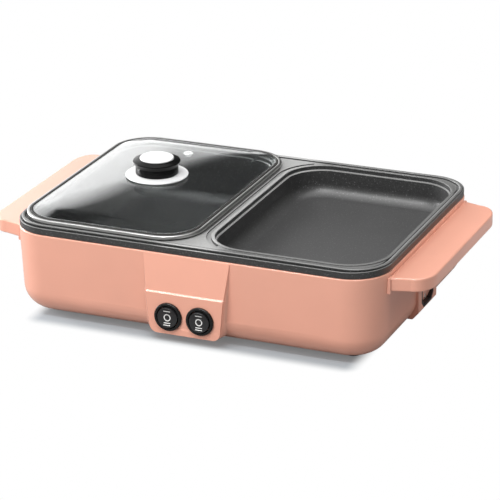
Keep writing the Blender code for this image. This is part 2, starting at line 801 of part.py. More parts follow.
def make_inlet():
    along = ((0, 1, 0), (0, 0, 1), (1, 0, 0))
    middle = HALF_X - INLET_LENGTH / 2
    body = keep("inlet_body", plate(inlet_outline(0), INLET_LENGTH), "black_plastic")
    turn_mesh(body.data, along, (middle, 0, INLET_Z))
    depth = SOCKET_DEPTH + OVERRUN
    middle = (HALF_X + OVERRUN - depth / 2, 0, INLET_Z)
    pocket = turn_mesh(plate(inlet_outline(INLET_RIM), depth), along, middle)
    cut(body, guide("socket", pocket))
    for low, high in pin_boxes(GAP):
        cut(body, guide("pin_slot", cuboid(low, high)))
    names = ("inlet_pin_live", "inlet_pin_earth", "inlet_pin_neutral")
    for name, (low, high) in zip(names, pin_boxes(0)):
        keep(name, cuboid(low, high), "brass")


def make_pan():
    under = FLANGE_Z - FLANGE_THICK
    low = BODY_TOP_Z + GAP
    top = FLANGE_Z + LIP_RISE
    inner = PAN_REVEAL + SKIRT_WIDTH
    profile = [(inner, under), (inner, low), (PAN_REVEAL, low), (PAN_REVEAL, top - LIP_EASE)]
    profile += [(PAN_REVEAL + LIP_EASE, top), (PAN_REVEAL + LIP_WIDTH, top)]
    profile += [(PAN_REVEAL + LIP_WIDTH + LIP_EASE, FLANGE_Z)]
    pan = keep("pan", loft(rings(HALF_X, HALF_Y, BODY_CORNER, profile)), "pan_coating")
    join(pan, guide("bead", bead_mesh()))
    floors = ((-WELL_X, POT_FLOOR_Z), (WELL_X, GRILL_FLOOR_Z))
    for x, floor in floors:
        join(pan, guide("well_outer", well_outer(x, floor)))
        cut(pan, web_groove(x))
        join(pan, guide("well_ridge", well_ridge(x)))
    for x, floor in floors:
        cut(pan, guide("well", well_cavity(x, floor)))
        for y in (-CLIP_Y, CLIP_Y):
            start = (x, y, floor - PAN_WALL / 2)
            end = (x, y, floor - PAN_WALL - STUD_LENGTH)
            join(pan, guide("stud", rod(STUD_RADIUS, start, end)))
    return pan


def bead_mesh():
    """The raised bead that runs round the flange."""
    half = BEAD_WIDTH / 2
    profile = [(half, FLANGE_Z - FLANGE_THICK / 2), (-half, FLANGE_Z - FLANGE_THICK / 2)]
    for step in range(ARC_STEPS + 1):
        angle = math.pi * step / ARC_STEPS
        profile.append((-half * math.cos(angle), FLANGE_Z + BEAD_RISE * math.sin(angle)))
    corner = BODY_CORNER - (BEAD_END + BEAD_SIDE) / 2
    return loft(rings(HALF_X - BEAD_END, HALF_Y - BEAD_SIDE, corner, profile), closed=True)


def well_foot(floor):
    """Inset of the well's wall where its cove begins, and that height."""
    cove_z = floor + COVE
    run = (FLANGE_Z - STEP_DROP - cove_z) * math.tan(WELL_DRAFT)
    return STEP_DRAFT + STEP_LEDGE + run, cove_z


def well_cavity(x, floor):
    foot, cove_z = well_foot(floor)
    step_z = FLANGE_Z - STEP_DROP
    profile = [(0, FLANGE_Z + RIDGE_RISE + OVERRUN), (0, FLANGE_Z), (STEP_DRAFT, step_z)]
    profile.append((STEP_DRAFT + STEP_LEDGE, step_z))
    profile += arc(foot + COVE, cove_z, COVE, 180, 270)
    return loft(rings(WELL_HALF_X, WELL_HALF_Y, WELL_CORNER, profile), centre=(x, 0))


def well_outer(x, floor):
    foot, cove_z = well_foot(floor)
    profile = [(-PAN_WALL, FLANGE_Z - FLANGE_THICK / 2)]
    profile += arc(foot + COVE, cove_z, COVE + PAN_WALL, 180, 270)
    return loft(rings(WELL_HALF_X, WELL_HALF_Y, WELL_CORNER, profile), centre=(x, 0))


def well_ridge(x):
    low = FLANGE_Z - FLANGE_THICK / 2
    top = FLANGE_Z + RIDGE_RISE
    profile = [(STEP_LEDGE, low), (-RIDGE_WIDTH, low), (-RIDGE_WIDTH, FLANGE_Z)]
    profile += [(-RIDGE_WIDTH + RIDGE_EASE, top), (STEP_LEDGE, top)]
    return loft(rings(WELL_HALF_X, WELL_HALF_Y, WELL_CORNER, profile), closed=True, centre=(x, 0))


def web_groove(x):
    """The channel beside the well's ridge, kept to the web between the wells."""
    inner = RIDGE_EASE - RIDGE_WIDTH
    outer = -RIDGE_WIDTH - WEB_GROOVE_WIDTH
    low = FLANGE_Z - WEB_GROOVE_DEPTH
    high = FLANGE_Z + OVERRUN
    profile = [(inner, low), (outer, low), (outer, high), (inner, high)]
    levels = rings(WELL_HALF_X, WELL_HALF_Y, WELL_CORNER, profile)
    ring = guide("groove", loft(levels, closed=True, centre=(x, 0)))
    box = cuboid((-WEB_GROOVE_SPAN, -HALF_Y, low - OVERRUN), (WEB_GROOVE_SPAN, HALF_Y, high + OVERRUN))
    return combine(ring, guide("web", box), "INTERSECT")


def make_switch(name, x):
    """One round switch: bezel, rocker on its trunnions, and the blades behind."""
    outward = ((1, 0, 0), (0, 0, 1), (0, -1, 0))
    front = GAP + SWITCH_FLANGE_THICK
    flange = SWITCH_FLANGE / 2
    well = ROCKER_RADIUS + ROCKER_CLEAR
    barrel = SWITCH_HOLE_RADIUS - GAP
    seat = front - SWITCH_WELL
    profile = [(0, seat), (well, seat), (well, front), (flange - SWITCH_EASE, front)]
    profile += [(flange, front - SWITCH_EASE), (flange, GAP), (barrel, GAP), (barrel, -SWITCH_BARREL)]
    profile.append((0, -SWITCH_BARREL))
    bezel = keep(f"switch_bezel_{name}", turned(profile), "black_plastic")
    turn_mesh(bezel.data, outward, (x, -PANEL_FACE, SWITCH_Z))
    pivot = (x, -FLANGE_FRONT + TRUNNION_DEPTH, SWITCH_Z)
    reach = barrel + GAP
    start = (pivot[0] - reach, pivot[1], pivot[2])
    end = (pivot[0] + reach, pivot[1], pivot[2])
    cut(bezel, guide("trunnion_bore", rod(TRUNNION_RADIUS + RUN, start, end)))
    make_rocker(f"rocker_{name}", pivot, barrel - GAP)
    make_blades(f"switch_terminals_{name}", x)


def make_rocker(name, pivot, reach):
    front = -TRUNNION_DEPTH - ROCKER_PROUD
    body = rod(ROCKER_RADIUS, (0, front, 0), (0, front + ROCKER_THICK, 0), ROUND_STEPS)
    rocker = keep(name, body, "black_plastic", pivot)
    centre = front - ROCKER_DISH_RADIUS + ROCKER_DISH_DEPTH
    start = (-ROCKER_RADIUS * 2, centre, 0)
    end = (ROCKER_RADIUS * 2, centre, 0)
    cut(rocker, guide("dish", rod(ROCKER_DISH_RADIUS, start, end, ROUND_STEPS * 2), pivot))
    join(rocker, guide("trunnion", rod(TRUNNION_RADIUS, (-reach, 0, 0), (reach, 0, 0)), pivot))


def make_blades(name, x):
    back = -PANEL_FACE + SWITCH_BARREL + GAP
    half = BLADE_PITCH + BLADE_WIDTH / 2
    low = (x - half, back, SWITCH_Z - BLADE_THICK * 2)
    high = (x + half, back + BLADE_PLATE, SWITCH_Z + BLADE_THICK * 2)
    blades = keep(name, cuboid(low, high), "brass")
    for place in (-1, 0, 1):
        middle = x + place * BLADE_PITCH
        low = (middle - BLADE_WIDTH / 2 + GAP, back + BLADE_PLATE / 2, SWITCH_Z - BLADE_THICK / 2)
        high = (middle + BLADE_WIDTH / 2 - GAP, back + BLADE_PLATE + BLADE_LENGTH, SWITCH_Z + BLADE_THICK / 2)
        join(blades, guide("blade", cuboid(low, high)))


def band_profile():
    """The steel band's closed section, as inset and height."""
    low = LID_LOW_Z
    top = LID_LOW_Z + LID_BAND_HEIGHT
    shelf = LID_LOW_Z + LID_BAND_SHELF_THICK
    return [(0, low), (0, top - LID_BAND_EASE), (LID_BAND_EASE, top), (LID_BAND_WIDTH, top),
            (LID_BAND_WIDTH, shelf), (LID_BAND_SHELF, shelf), (LID_BAND_SHELF, low)]


def glass_levels():
    """The glass from its lower middle, out round its edge, to its upper middle."""
    edge = LID_BAND_WIDTH + GASKET_WIDTH + GAP * 2
    base = LID_LOW_Z + LID_BAND_SHELF_THICK + GAP + GLASS_THICK
    border = []
    for step in range(BORDER_STEPS + 1):
        share = step / BORDER_STEPS
        border.append((edge + GLASS_BORDER * share, base + GLASS_BORDER_RISE * math.sin(share * math.pi / 2)))
    top = rings(LID_LENGTH / 2, LID_DEPTH / 2, LID_CORNER, border)
    half_x, half_y, corner, height = top[-1]
    for step in range(1, CROWN_STEPS + 1):
        share = 1 - step / (CROWN_STEPS + 1)
        crown = GLASS_CROWN * (1 - share ** 2)
        top.append((half_x * share, half_y * share, corner * share, height + crown))
    bottom = [(x, y, corner, height - GLASS_THICK) for x, y, corner, height in reversed(top)]
    return bottom + top


def glass_crown_z():
    return glass_levels()[-1][3]


def make_lid():
    half_x = LID_LENGTH / 2
    half_y = LID_DEPTH / 2
    place = (LID_X, 0)
    band = loft(rings(half_x, half_y, LID_CORNER, band_profile()), closed=True, centre=place)
    keep("lid_rim", band, "chrome")
    near = LID_BAND_WIDTH + GAP
    far = near + GASKET_WIDTH
    low = LID_LOW_Z + LID_BAND_SHELF_THICK + GAP
    section = [(near, low), (near, low + GASKET_HEIGHT), (far, low + GASKET_HEIGHT), (far, low)]
    gasket = loft(rings(half_x, half_y, LID_CORNER, section), closed=True, centre=place)
    keep("lid_gasket", gasket, "rubber")
    glass = keep("lid_glass", loft(glass_levels(), centre=place), "glass")
    high = glass_crown_z() + OVERRUN
    bore = rod(KNOB_SCREW_RADIUS + GAP, (LID_X, 0, LID_LOW_Z), (LID_X, 0, high))
    cut(glass, guide("knob_hole", bore))
    vent = (LID_X - VENT_X, VENT_Y)
    bore = rod(VENT_STEM + GAP, (*vent, LID_LOW_Z), (*vent, high))
    cut(glass, guide("vent_hole", bore))
    make_vent(vent)
    make_knob()


def make_vent(vent):
    border = LID_BAND_WIDTH + GASKET_WIDTH + GAP * 2 + GLASS_BORDER
    share = VENT_Y / (LID_DEPTH / 2 - border)
    top = glass_crown_z() - GLASS_CROWN * share ** 2 + GAP * 2
    rise = top + VENT_FLANGE
    foot = top - GLASS_THICK
    ease = VENT_FLANGE / 2
    profile = [(VENT_BORE, rise), (VENT_RADIUS - ease, rise), (VENT_RADIUS, rise - ease)]
    profile += [(VENT_RADIUS, top), (VENT_STEM, top), (VENT_STEM, foot), (VENT_BORE, foot), (VENT_BORE, rise)]
    keep("vent_eyelet", turned(profile, SMALL_STEPS), "chrome", (*vent, 0))


def make_knob():
    seat = glass_crown_z() + GAP
    place = (LID_X, 0, 0)
    bore = KNOB_SCREW_RADIUS + GAP
    top = seat + KNOB_BASE_THICK
    edge = KNOB_BASE_THICK / 2
    profile = [(bore, top), (KNOB_BASE_RADIUS - edge * 3, top), (KNOB_BASE_RADIUS, seat + edge)]
    profile += [(KNOB_BASE_RADIUS, seat), (bore, seat), (bore, top)]
    keep("knob_base", turned(profile), "chrome", place)
    foot = top + GAP
    cap_seat = foot + KNOB_HEIGHT - KNOB_CAP_SEAT
    rib = KNOB_WAIST_HEIGHT / 6
    screw_end = seat + KNOB_SCREW_LENGTH - GLASS_THICK
    rim = KNOB_CAP_RADIUS + GAP
    profile = [(0, cap_seat), (rim, cap_seat), (rim, foot + KNOB_HEIGHT)]
    shoulder = KNOB_HEAD_RADIUS - KNOB_RIB * 5
    profile += [(shoulder, foot + KNOB_HEIGHT), (KNOB_HEAD_RADIUS, foot + KNOB_HEAD_HEIGHT)]
    profile += [(KNOB_HEAD_RADIUS - KNOB_RIB, foot + KNOB_HEAD_HEIGHT - rib)]
    profile += [(KNOB_WAIST_RADIUS, foot + KNOB_WAIST_HEIGHT)]
    for step in range(4, 0, -1):
        inward = KNOB_RIB if step % 2 else 0
        profile.append((KNOB_WAIST_RADIUS - inward, foot + rib * step))
    profile += [(KNOB_WAIST_RADIUS, foot), (bore, foot), (bore, screw_end + GAP), (0, screw_end + GAP)]
    keep("knob_body", turned(profile), "black_plastic", place)
    cap_low = cap_seat + GAP
    cap_top = foot + KNOB_HEIGHT + KNOB_CAP_RISE
    profile = [(0, cap_top), (KNOB_CAP_RADIUS / 2, cap_top - KNOB_RIB / 2)]
    profile += [(KNOB_CAP_RADIUS - KNOB_RIB * 3, cap_top - KNOB_RIB)]
    profile += [(KNOB_CAP_RADIUS, cap_top - KNOB_CAP_RISE), (KNOB_CAP_RADIUS, cap_low), (0, cap_low)]
    keep("knob_cap", turned(profile), "chrome", place)
    head = glass_crown_z() - GLASS_THICK - GAP
    profile = [(0, screw_end), (KNOB_SCREW_RADIUS, screw_end)]
    profile += [(KNOB_SCREW_RADIUS, head), (KNOB_SCREW_HEAD_RADIUS, head)]
    profile += [(KNOB_SCREW_HEAD_RADIUS, head - KNOB_SCREW_HEAD), (0, head - KNOB_SCREW_HEAD)]
    keep("knob_screw", turned(profile, SMALL_STEPS), "steel", place)


def make_element(name, x, floor):
    z = floor - PAN_WALL - GAP - ELEMENT_RADIUS
    outline = rounded(ELEMENT_HALF_X, ELEMENT_HALF_Y, ELEMENT_CORNER, CORNER_STEPS // 2)
    start = (x + ELEMENT_GAP_HALF, -ELEMENT_HALF_Y)
    end = (x - ELEMENT_GAP_HALF, -ELEMENT_HALF_Y)
    loop = [(x + u, v, z) for u, v in outline]
    path = bend_path([(*start, z - ELEMENT_TAIL), (*start, z), loop[0]], ELEMENT_TAIL)
    path += loop[1:-1]
    path += bend_path([loop[-1], (*end, z), (*end, z - ELEMENT_TAIL)], ELEMENT_TAIL)
    keep(name, tube(path, ELEMENT_RADIUS), "steel")
    return z


def make_clips(first, x, z, floor):
    top = z - ELEMENT_RADIUS - GAP
    half = ELEMENT_HALF_X + CLIP_OVERHANG
    for index, y in enumerate((-CLIP_Y, CLIP_Y), first):
        low = (x - half, y - CLIP_WIDTH / 2, top - CLIP_THICK)
        clip = keep(f"element_clip_{index}", cuboid(low, (x + half, y + CLIP_WIDTH / 2, top)), "steel")
        hole = (STUD_RADIUS + GAP, (x, y, top - CLIP_THICK - NUT_THICK * 2), (x, y, floor))
        cut(clip, guide("stud_hole", rod(*hole)))
        nut_top = top - CLIP_THICK - GAP
        hexagon = rod(NUT_RADIUS, (x, y, nut_top - NUT_THICK), (x, y, nut_top), NUT_SIDES)
        nut = keep(f"element_nut_{index}", hexagon, "steel")
        cut(nut, guide("stud_hole", rod(*hole)))


def make_thermostat(name, x, floor):
    top = floor - PAN_WALL - GAP
    shoulder = top - THERMOSTAT_CAP
    low = top - THERMOSTAT_THICK
    inner = THERMOSTAT_RADIUS - THERMOSTAT_CAP / 3
    profile = [(0, top), (THERMOSTAT_RADIUS, top), (THERMOSTAT_RADIUS, shoulder)]
    profile += [(inner, shoulder), (inner, low), (0, low)]
    keep(name, turned(profile, SMALL_STEPS), "steel", (x, 0, 0))


def make_heating():
    wells = (("pot", -WELL_X, POT_FLOOR_Z, 1), ("grill", WELL_X, GRILL_FLOOR_Z, 3))
    for name, x, floor, first in wells:
        z = make_element(f"{name}_element", x, floor)
        make_clips(first, x, z, floor)
        make_thermostat(f"{name}_thermostat", x, floor)
    z = POT_FLOOR_Z - PAN_WALL - GAP - FUSE_RADIUS
    x = FUSE_OFFSET - WELL_X
    keep("thermal_fuse", rod(FUSE_RADIUS, (x, -FUSE_LENGTH / 2, z), (x, FUSE_LENGTH / 2, z)), "brass")


def make_shield():
    low = BOSS_TOP_Z + GAP
    top = low + SHIELD_THICK + SHIELD_WALL
    levels = rings(SHIELD_HALF_X, SHIELD_HALF_Y, SHIELD_CORNER,
                   [(0, low), (0, top), (SHIELD_THICK, top), (SHIELD_THICK, low + SHIELD_THICK)])
    keep("heat_shield", loft(levels), "steel")


def make_wiring():
    floor = BODY_BASE_Z + BODY_WALL + GAP
    half = BLOCK_LENGTH / 2
    low = (BLOCK_X - half, -BLOCK_Y - BLOCK_WIDTH / 2, floor)
    high = (BLOCK_X + half, -BLOCK_Y + BLOCK_WIDTH / 2, floor + BLOCK_HEIGHT)
    keep("terminal_block", cuboid(low, high), "ceramic")
    names = (
        ("neutral_lead", "lead_blue", 1, 0),
        ("earth_lead", "lead_green", 0, 1),
        ("live_lead", "lead_brown", -1, 2),
    )
    for name, finish, side, layer in names:
        y = side * PIN_SPACING / 2
        z = INLET_Z - (0 if side else PIN_EARTH_DROP)
        level = LEAD_LOW_Z + LEAD_PITCH * layer
        start = HALF_X - INLET_LENGTH - PIN_TAIL - GAP
        route = [(start, y, z), (LEAD_TURN_X, y, z), (LEAD_TURN_X, y - LEAD_FALL, level)]
        route += [(LEAD_TURN_X, -BLOCK_Y, level), (BLOCK_X + half + GAP, -BLOCK_Y, level)]
        keep(name, tube(bend_path(route, LEAD_BEND), LEAD_RADIUS), finish)


def gather_lid():
    """Hang the lid's pieces on an empty that stands on the lift's axis."""
    lift = bpy.data.objects.new("lid_lift", None)
    lift.location = (LID_X, 0, LID_LOW_Z)
    PARTS.objects.link(lift)
    for name in LID_NODES:
        piece = bpy.data.objects[name]
        piece.parent = lift
        piece.location = piece.location - lift.location
    return lift


make_housing()
make_handle("handle_right", 1)
make_handle("handle_left", -1)
make_handle_screws()
make_bottom_cover()
make_feet()
make_cover_screws()
make_inlet_housing()
make_inlet()
make_pan()
make_switch("left", -SWITCH_X)
make_switch("right", SWITCH_X)
make_lid()
make_heating()
make_shield()
make_wiring()
gather_lid()
for item in PARTS.objects:
    if item.parent is None:
        item.location.y += CENTRE_SHIFT
print("parts:", len([item for item in PARTS.objects if item.type == "MESH"]))
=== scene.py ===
# %% [markdown]
# A hot pot and grill cooker, dressed for its portrait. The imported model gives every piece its
# place and size. This lesson goes round it piece by piece, makes the surfaces that a camera
# sees, and gives each one a finish worked out by nodes.

# %% Load the fixed frame
import math

import bmesh
import bpy
from mathutils import Matrix, Vector


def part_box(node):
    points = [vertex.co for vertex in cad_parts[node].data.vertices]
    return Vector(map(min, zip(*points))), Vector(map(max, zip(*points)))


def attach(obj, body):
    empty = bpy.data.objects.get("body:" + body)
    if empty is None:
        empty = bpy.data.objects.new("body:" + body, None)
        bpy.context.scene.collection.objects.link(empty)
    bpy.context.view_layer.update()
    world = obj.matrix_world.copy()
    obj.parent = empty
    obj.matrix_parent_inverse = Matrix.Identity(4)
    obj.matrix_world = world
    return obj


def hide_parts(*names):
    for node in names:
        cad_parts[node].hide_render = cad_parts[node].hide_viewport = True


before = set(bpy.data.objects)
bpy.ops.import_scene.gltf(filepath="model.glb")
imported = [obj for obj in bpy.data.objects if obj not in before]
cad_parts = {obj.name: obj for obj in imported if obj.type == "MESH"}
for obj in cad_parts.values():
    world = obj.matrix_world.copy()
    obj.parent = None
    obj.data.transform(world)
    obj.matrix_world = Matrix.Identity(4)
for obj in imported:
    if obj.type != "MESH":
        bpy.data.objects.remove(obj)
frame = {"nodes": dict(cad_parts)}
scene = bpy.context.scene
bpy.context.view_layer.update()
nodes = frame["nodes"]
print("nodes loaded:", len(nodes))

# %% [markdown]
# The real cooker was measured in millimetres, so the shapes below are drawn in millimetres
# too, and one factor turns them into Blender's metres. The cooker's own middle line lies a
# little behind the frame's origin, because the switches reach further out than the back wall.

# %% Sizes shared by several pieces
MM = 0.001
HALF_X, HALF_Y, CORNER = 156.0, 115.3, 32.6
body_line = (HALF_X, HALF_Y, CORNER)
BASE_Z, TOP_Z, FLANGE_Z = 3.0, 72.0, 78.2
DRAFT_RUN, FILLET, WALL = 2.139, 20.0, 2.2
WELL_X, WELL_HALF_X, WELL_HALF_Y, WELL_CORNER = 77.95, 70.55, 101.9, 32.0
PANEL_FACE, SWITCH_X, SWITCH_Z = 120.8, 13.3, 22.7
GAP = 0.3
shell_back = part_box("housing_shell")[1].y / MM
MIDDLE_Y = round(shell_back - HALF_Y, 3)
print("middle line at y =", MIDDLE_Y, "mm")

# %% [markdown]
# Shader maths reads best as plain arithmetic. This small class wraps a socket, so that
# `1 - mask` or `noise * 0.4 + 0.1` adds the Math nodes by itself. Colours and vectors have
# their own mixers, because a Math node would turn them grey.

# %% A socket that does arithmetic
class Wire:
    """A node's output inside one node tree."""

    def __init__(self, nodes, socket):
        self.nodes, self.socket = nodes, socket

    def math(self, operation, other, swap=False):
        """Add a Math node; swap puts the other value first."""
        pair = [other, self] if swap else [self, other]
        return self.nodes.node("ShaderNodeMath", {"operation": operation}, dict(enumerate(pair)))

    def __add__(self, other):
        return self.math("ADD", other)

    def __mul__(self, other):
        return self.math("MULTIPLY", other)

    def __rsub__(self, other):
        return self.math("SUBTRACT", other, swap=True)

    __radd__, __rmul__ = __add__, __mul__


# %% [markdown]
# Nodes can be placed by hand in the Shader Editor. From a script it is shorter to have one
# method that adds any node and fills its sockets, and a few named ones for what comes often:
# noise, a bump, a mix of two colours, or one shader laid over another.

# %% Node trees and finishes
class Nodes:
    """A node tree, to which one method adds every kind of node."""

    def __init__(self, owner):
        owner.use_nodes = True
        self.tree = owner.node_tree

    def node(self, kind, settings=None, inputs=None, output=0):
        """Add any node: its settings first, then the values or wires of its sockets."""
        made = self.tree.nodes.new(kind)
        for name, value in (settings or {}).items():
            setattr(made, name, value)
        for name, value in (inputs or {}).items():
            self.feed(made.inputs[name], value)
        return Wire(self, made.outputs[output]) if made.outputs else made

    def feed(self, target, value):
        """Give one socket a number, a colour or a wire."""
        if isinstance(value, Wire):
            self.tree.links.new(value.socket, target)
        elif target.type == "RGBA":
            target.default_value = (*value, 1.0)
        else:
            target.default_value = value

    def axis(self, vector, letter):
        """One number of a vector: X, Y or Z."""
        return self.node("ShaderNodeSeparateXYZ", {}, {"Vector": vector}, output=letter)

    def vector(self, operation, *values, output=0):
        """A Vector Math node."""
        return self.node("ShaderNodeVectorMath", {"operation": operation}, dict(enumerate(values)), output)

    def ray(self, kind):
        """1 for a ray of one kind, and 0 for the rest."""
        return self.node("ShaderNodeLightPath", output=f"Is {kind} Ray")

    def ease(self, value, start, end, low=0.0, high=1.0, kind="SMOOTHSTEP"):
        """Map a range of values onto another one, gently at both ends."""
        return self.node("ShaderNodeMapRange", {"interpolation_type": kind},
                         {"Value": value, "From Min": start, "From Max": end, "To Min": low, "To Max": high})


class Finish(Nodes):
    """One material with a Principled shader."""

    def __init__(self, name, color, roughness, metallic=0.0, **fixed):
        self.material = bpy.data.materials.new(name)
        super().__init__(self.material)
        self.shader = self.tree.nodes["Principled BSDF"]
        self.set(Base_Color=color, Roughness=roughness, Metallic=metallic, **fixed)

    def set(self, **sockets):
        """Set the shader's own sockets, with _ for the spaces in their names."""
        for name, value in sockets.items():
            self.feed(self.shader.inputs[name.replace("_", " ")], value)

    def place(self):
        """The point of the surface in the object's own space, in metres."""
        return self.node("ShaderNodeTexCoord", output="Object")

    def noise(self, size_mm, detail, stretch=(1, 1, 1)):
        """Noise whose features are about so many millimetres wide."""
        scaled = self.vector("MULTIPLY", self.place(), stretch)
        inputs = {"Vector": scaled, "Scale": 1 / (size_mm * MM), "Detail": detail}
        return self.node("ShaderNodeTexNoise", {}, inputs)

    def ramp(self, value, *stops):
        """Turn a number into a grey, by stops that are a place and a grey each."""
        made = self.node("ShaderNodeValToRGB", {}, {"Fac": value})
        elements = made.socket.node.color_ramp.elements
        while len(elements) < len(stops):
            elements.new(1.0)
        for element, (place, shade) in zip(elements, stops):
            element.position, element.color = place, (shade, shade, shade, 1.0)
        return made

    def blend(self, share, first, second):
        """Mix two colours by a share."""
        return self.node("ShaderNodeMix", {"data_type": "RGBA"}, {0: share, 6: first, 7: second}, output=2)

    def bump(self, height, distance_mm):
        """Make a surface look as if it rose and fell by so many millimetres."""
        return self.node("ShaderNodeBump", {}, {"Height": height, "Distance": distance_mm * MM})

    def overlay(self, share, other):
        """Lay another shader over the surface so far, by a share."""
        surface = self.tree.nodes["Material Output"].inputs["Surface"]
        so_far = Wire(self, surface.links[0].from_socket)
        mixed = self.node("ShaderNodeMixShader", {}, {0: share, 1: so_far, 2: other})
        self.tree.links.new(mixed.socket, surface)


# %% [markdown]
# Nearly every outline on this cooker is a rectangle with round corners: casing, pan, wells
# and lid. So one function draws that outline, and others stack or sweep it along a profile
# of inset and height.

# %% Helpers for swept shapes
CORNER_STEPS, SHARP_ANGLE = 18, 30


def rounded(half_x, half_y, radius):
    """Points round a rectangle with round corners."""
    points = []
    for side_x, side_y, first in ((1, -1, 270), (1, 1, 0), (-1, 1, 90), (-1, -1, 180)):
        for step in range(CORNER_STEPS + 1):
            angle = math.radians(first + 90 * step / CORNER_STEPS)
            x = side_x * (half_x - radius) + radius * math.cos(angle)
            y = side_y * (half_y - radius) + radius * math.sin(angle)
            points.append((x, y))
    return points


def arc(middle_u, middle_v, radius, first, last, steps):
    """Points along an arc, with angles in degrees."""
    angles = [math.radians(first + (last - first) * step / steps) for step in range(steps + 1)]
    return [(middle_u + radius * math.cos(angle), middle_v + radius * math.sin(angle)) for angle in angles]


def add_object(name, data):
    """Put an object into the scene."""
    made = bpy.data.objects.new(name, data)
    scene.collection.objects.link(made)
    return made


def smooth(mesh, sharp=SHARP_ANGLE):
    """Shade a mesh smooth but for the edges that are sharper than an angle."""
    mesh.shade_smooth()
    mesh.set_sharp_from_angle(angle=math.radians(sharp))


def finish_mesh(name, work, sharp=SHARP_ANGLE):
    """Turn a bmesh into an object in metres."""
    bmesh.ops.recalc_face_normals(work, faces=work.faces)
    bmesh.ops.scale(work, vec=(MM, MM, MM), verts=work.verts)
    mesh = bpy.data.meshes.new(name)
    work.to_mesh(mesh)
    work.free()
    smooth(mesh, sharp)
    return add_object(name, mesh)


def join_loops(work, loops, closed=False):
    """Run belts of faces from loop to loop, and cap the two ends or close them on each other."""
    for lower, upper in list(zip(loops, loops[1:])) + ([(loops[-1], loops[0])] if closed else []):
        for index in range(len(lower)):
            after = (index + 1) % len(lower)
            work.faces.new((lower[index], lower[after], upper[after], upper[index]))
    if not closed:
        work.faces.new(loops[0])
        work.faces.new(loops[-1])


def stack(name, levels, closed=False, centre=(0, 0), sharp=SHARP_ANGLE):
    """Join rounded rectangles level by level."""
    work = bmesh.new()
    loops = []
    for half_x, half_y, radius, height in levels:
        outline = rounded(half_x, half_y, radius)
        loops.append([work.verts.new((centre[0] + x, centre[1] + MIDDLE_Y + y, height)) for x, y in outline])
    join_loops(work, loops, closed)
    return finish_mesh(name, work, sharp)


def sweep(name, outline, profile, closed=False, centre=(0, 0)):
    """Carry a profile of inset and height round a rounded rectangle, given as half sizes and radius."""
    half_x, half_y, radius = outline
    levels = [(half_x - inset, half_y - inset, max(radius - inset, radius / 8), height)
              for inset, height in profile]
    return stack(name, levels, closed, centre)


# %% [markdown]
# Turned pieces such as the knob are a profile spun about an axis, as on a lathe. Blocks,
# round bars and prisms make the rest, and most of the tools that cut holes.

# %% Helpers for turned and flat shapes
SEAM = 0.002


def spin(name, profile, place, axis="Z", steps=72):
    """Turn a profile of radius and height about a point; axis "-Y" lays it down to face the front."""
    work = bmesh.new()
    ringed = profile[0] == profile[-1]
    chain = [work.verts.new((radius, 0, height)) for radius, height in profile[:len(profile) - ringed]]
    edges = [work.edges.new(pair) for pair in zip(chain, chain[1:])]
    if ringed:
        edges.append(work.edges.new((chain[-1], chain[0])))
    bmesh.ops.spin(work, geom=chain + edges, cent=(0, 0, 0), axis=(0, 0, 1), steps=steps, angle=math.tau)
    bmesh.ops.remove_doubles(work, verts=work.verts, dist=SEAM)
    if axis == "-Y":
        bmesh.ops.rotate(work, verts=work.verts, cent=(0, 0, 0), matrix=Matrix.Rotation(math.pi / 2, 3, "X"))
    bmesh.ops.translate(work, verts=work.verts, vec=(place[0], place[1] + MIDDLE_Y, place[2]))
    return finish_mesh(name, work)


def block(name, low, high):
    """A box between two corners."""
    work = bmesh.new()
    bmesh.ops.create_cube(work, size=1.0)
    for vert in work.verts:
        for axis in range(3):
            vert.co[axis] = (low[axis] + high[axis]) / 2 + vert.co[axis] * (high[axis] - low[axis])
        vert.co[1] += MIDDLE_Y
    return finish_mesh(name, work)


def bar(name, radius, start, end, steps=48):
    """A round bar between two points."""
    work = bmesh.new()
    run = Vector(end) - Vector(start)
    size = {"radius1": radius, "radius2": radius, "depth": run.length}
    bmesh.ops.create_cone(work, cap_ends=True, segments=steps, **size)
    bmesh.ops.rotate(work, verts=work.verts, matrix=run.to_track_quat("Z", "Y").to_matrix())
    bmesh.ops.translate(work, verts=work.verts, vec=Vector(start) + run / 2 + Vector((0, MIDDLE_Y, 0)))
    return finish_mesh(name, work)


def prism(name, outline, low, high, along):
    """Push a flat outline along an axis: "X" reads it as Y and Z, "Y" as X and Z, "Z" as X and Y."""
    work = bmesh.new()
    ends = []
    for level in (low, high):
        places = {"X": [(level, u, v) for u, v in outline], "Y": [(u, level, v) for u, v in outline],
                  "Z": [(u, v, level) for u, v in outline]}[along]
        ends.append([work.verts.new((x, y + MIDDLE_Y, z)) for x, y, z in places])
    join_loops(work, ends)
    return finish_mesh(name, work)


# %% [markdown]
# A rough shape is finished much as in a workshop: Booleans cut tools out of it or add them,
# and a bevel rounds its edges. Modifiers are fixed in the mesh at once, so that a tool can be
# thrown away. Booleans leave thin faces that bend the shading of the flat ones beside them,
# and weighted normals put that right.

# %% Helpers for cutting and finishing
MERGE_DISTANCE, THIN_EDGE = 0.004 * MM, 0.002 * MM


def bake(piece, *modifiers):
    """Add modifiers, given as a type and its settings, and fix their result in the mesh."""
    for kind, settings in modifiers:
        added = piece.modifiers.new(kind.lower(), kind)
        for name, value in settings.items():
            setattr(added, name, value)
    bpy.context.view_layer.update()
    view = piece.evaluated_get(bpy.context.evaluated_depsgraph_get())
    mesh = bpy.data.meshes.new_from_object(view)
    piece.modifiers.clear()
    piece.data = mesh
    return piece


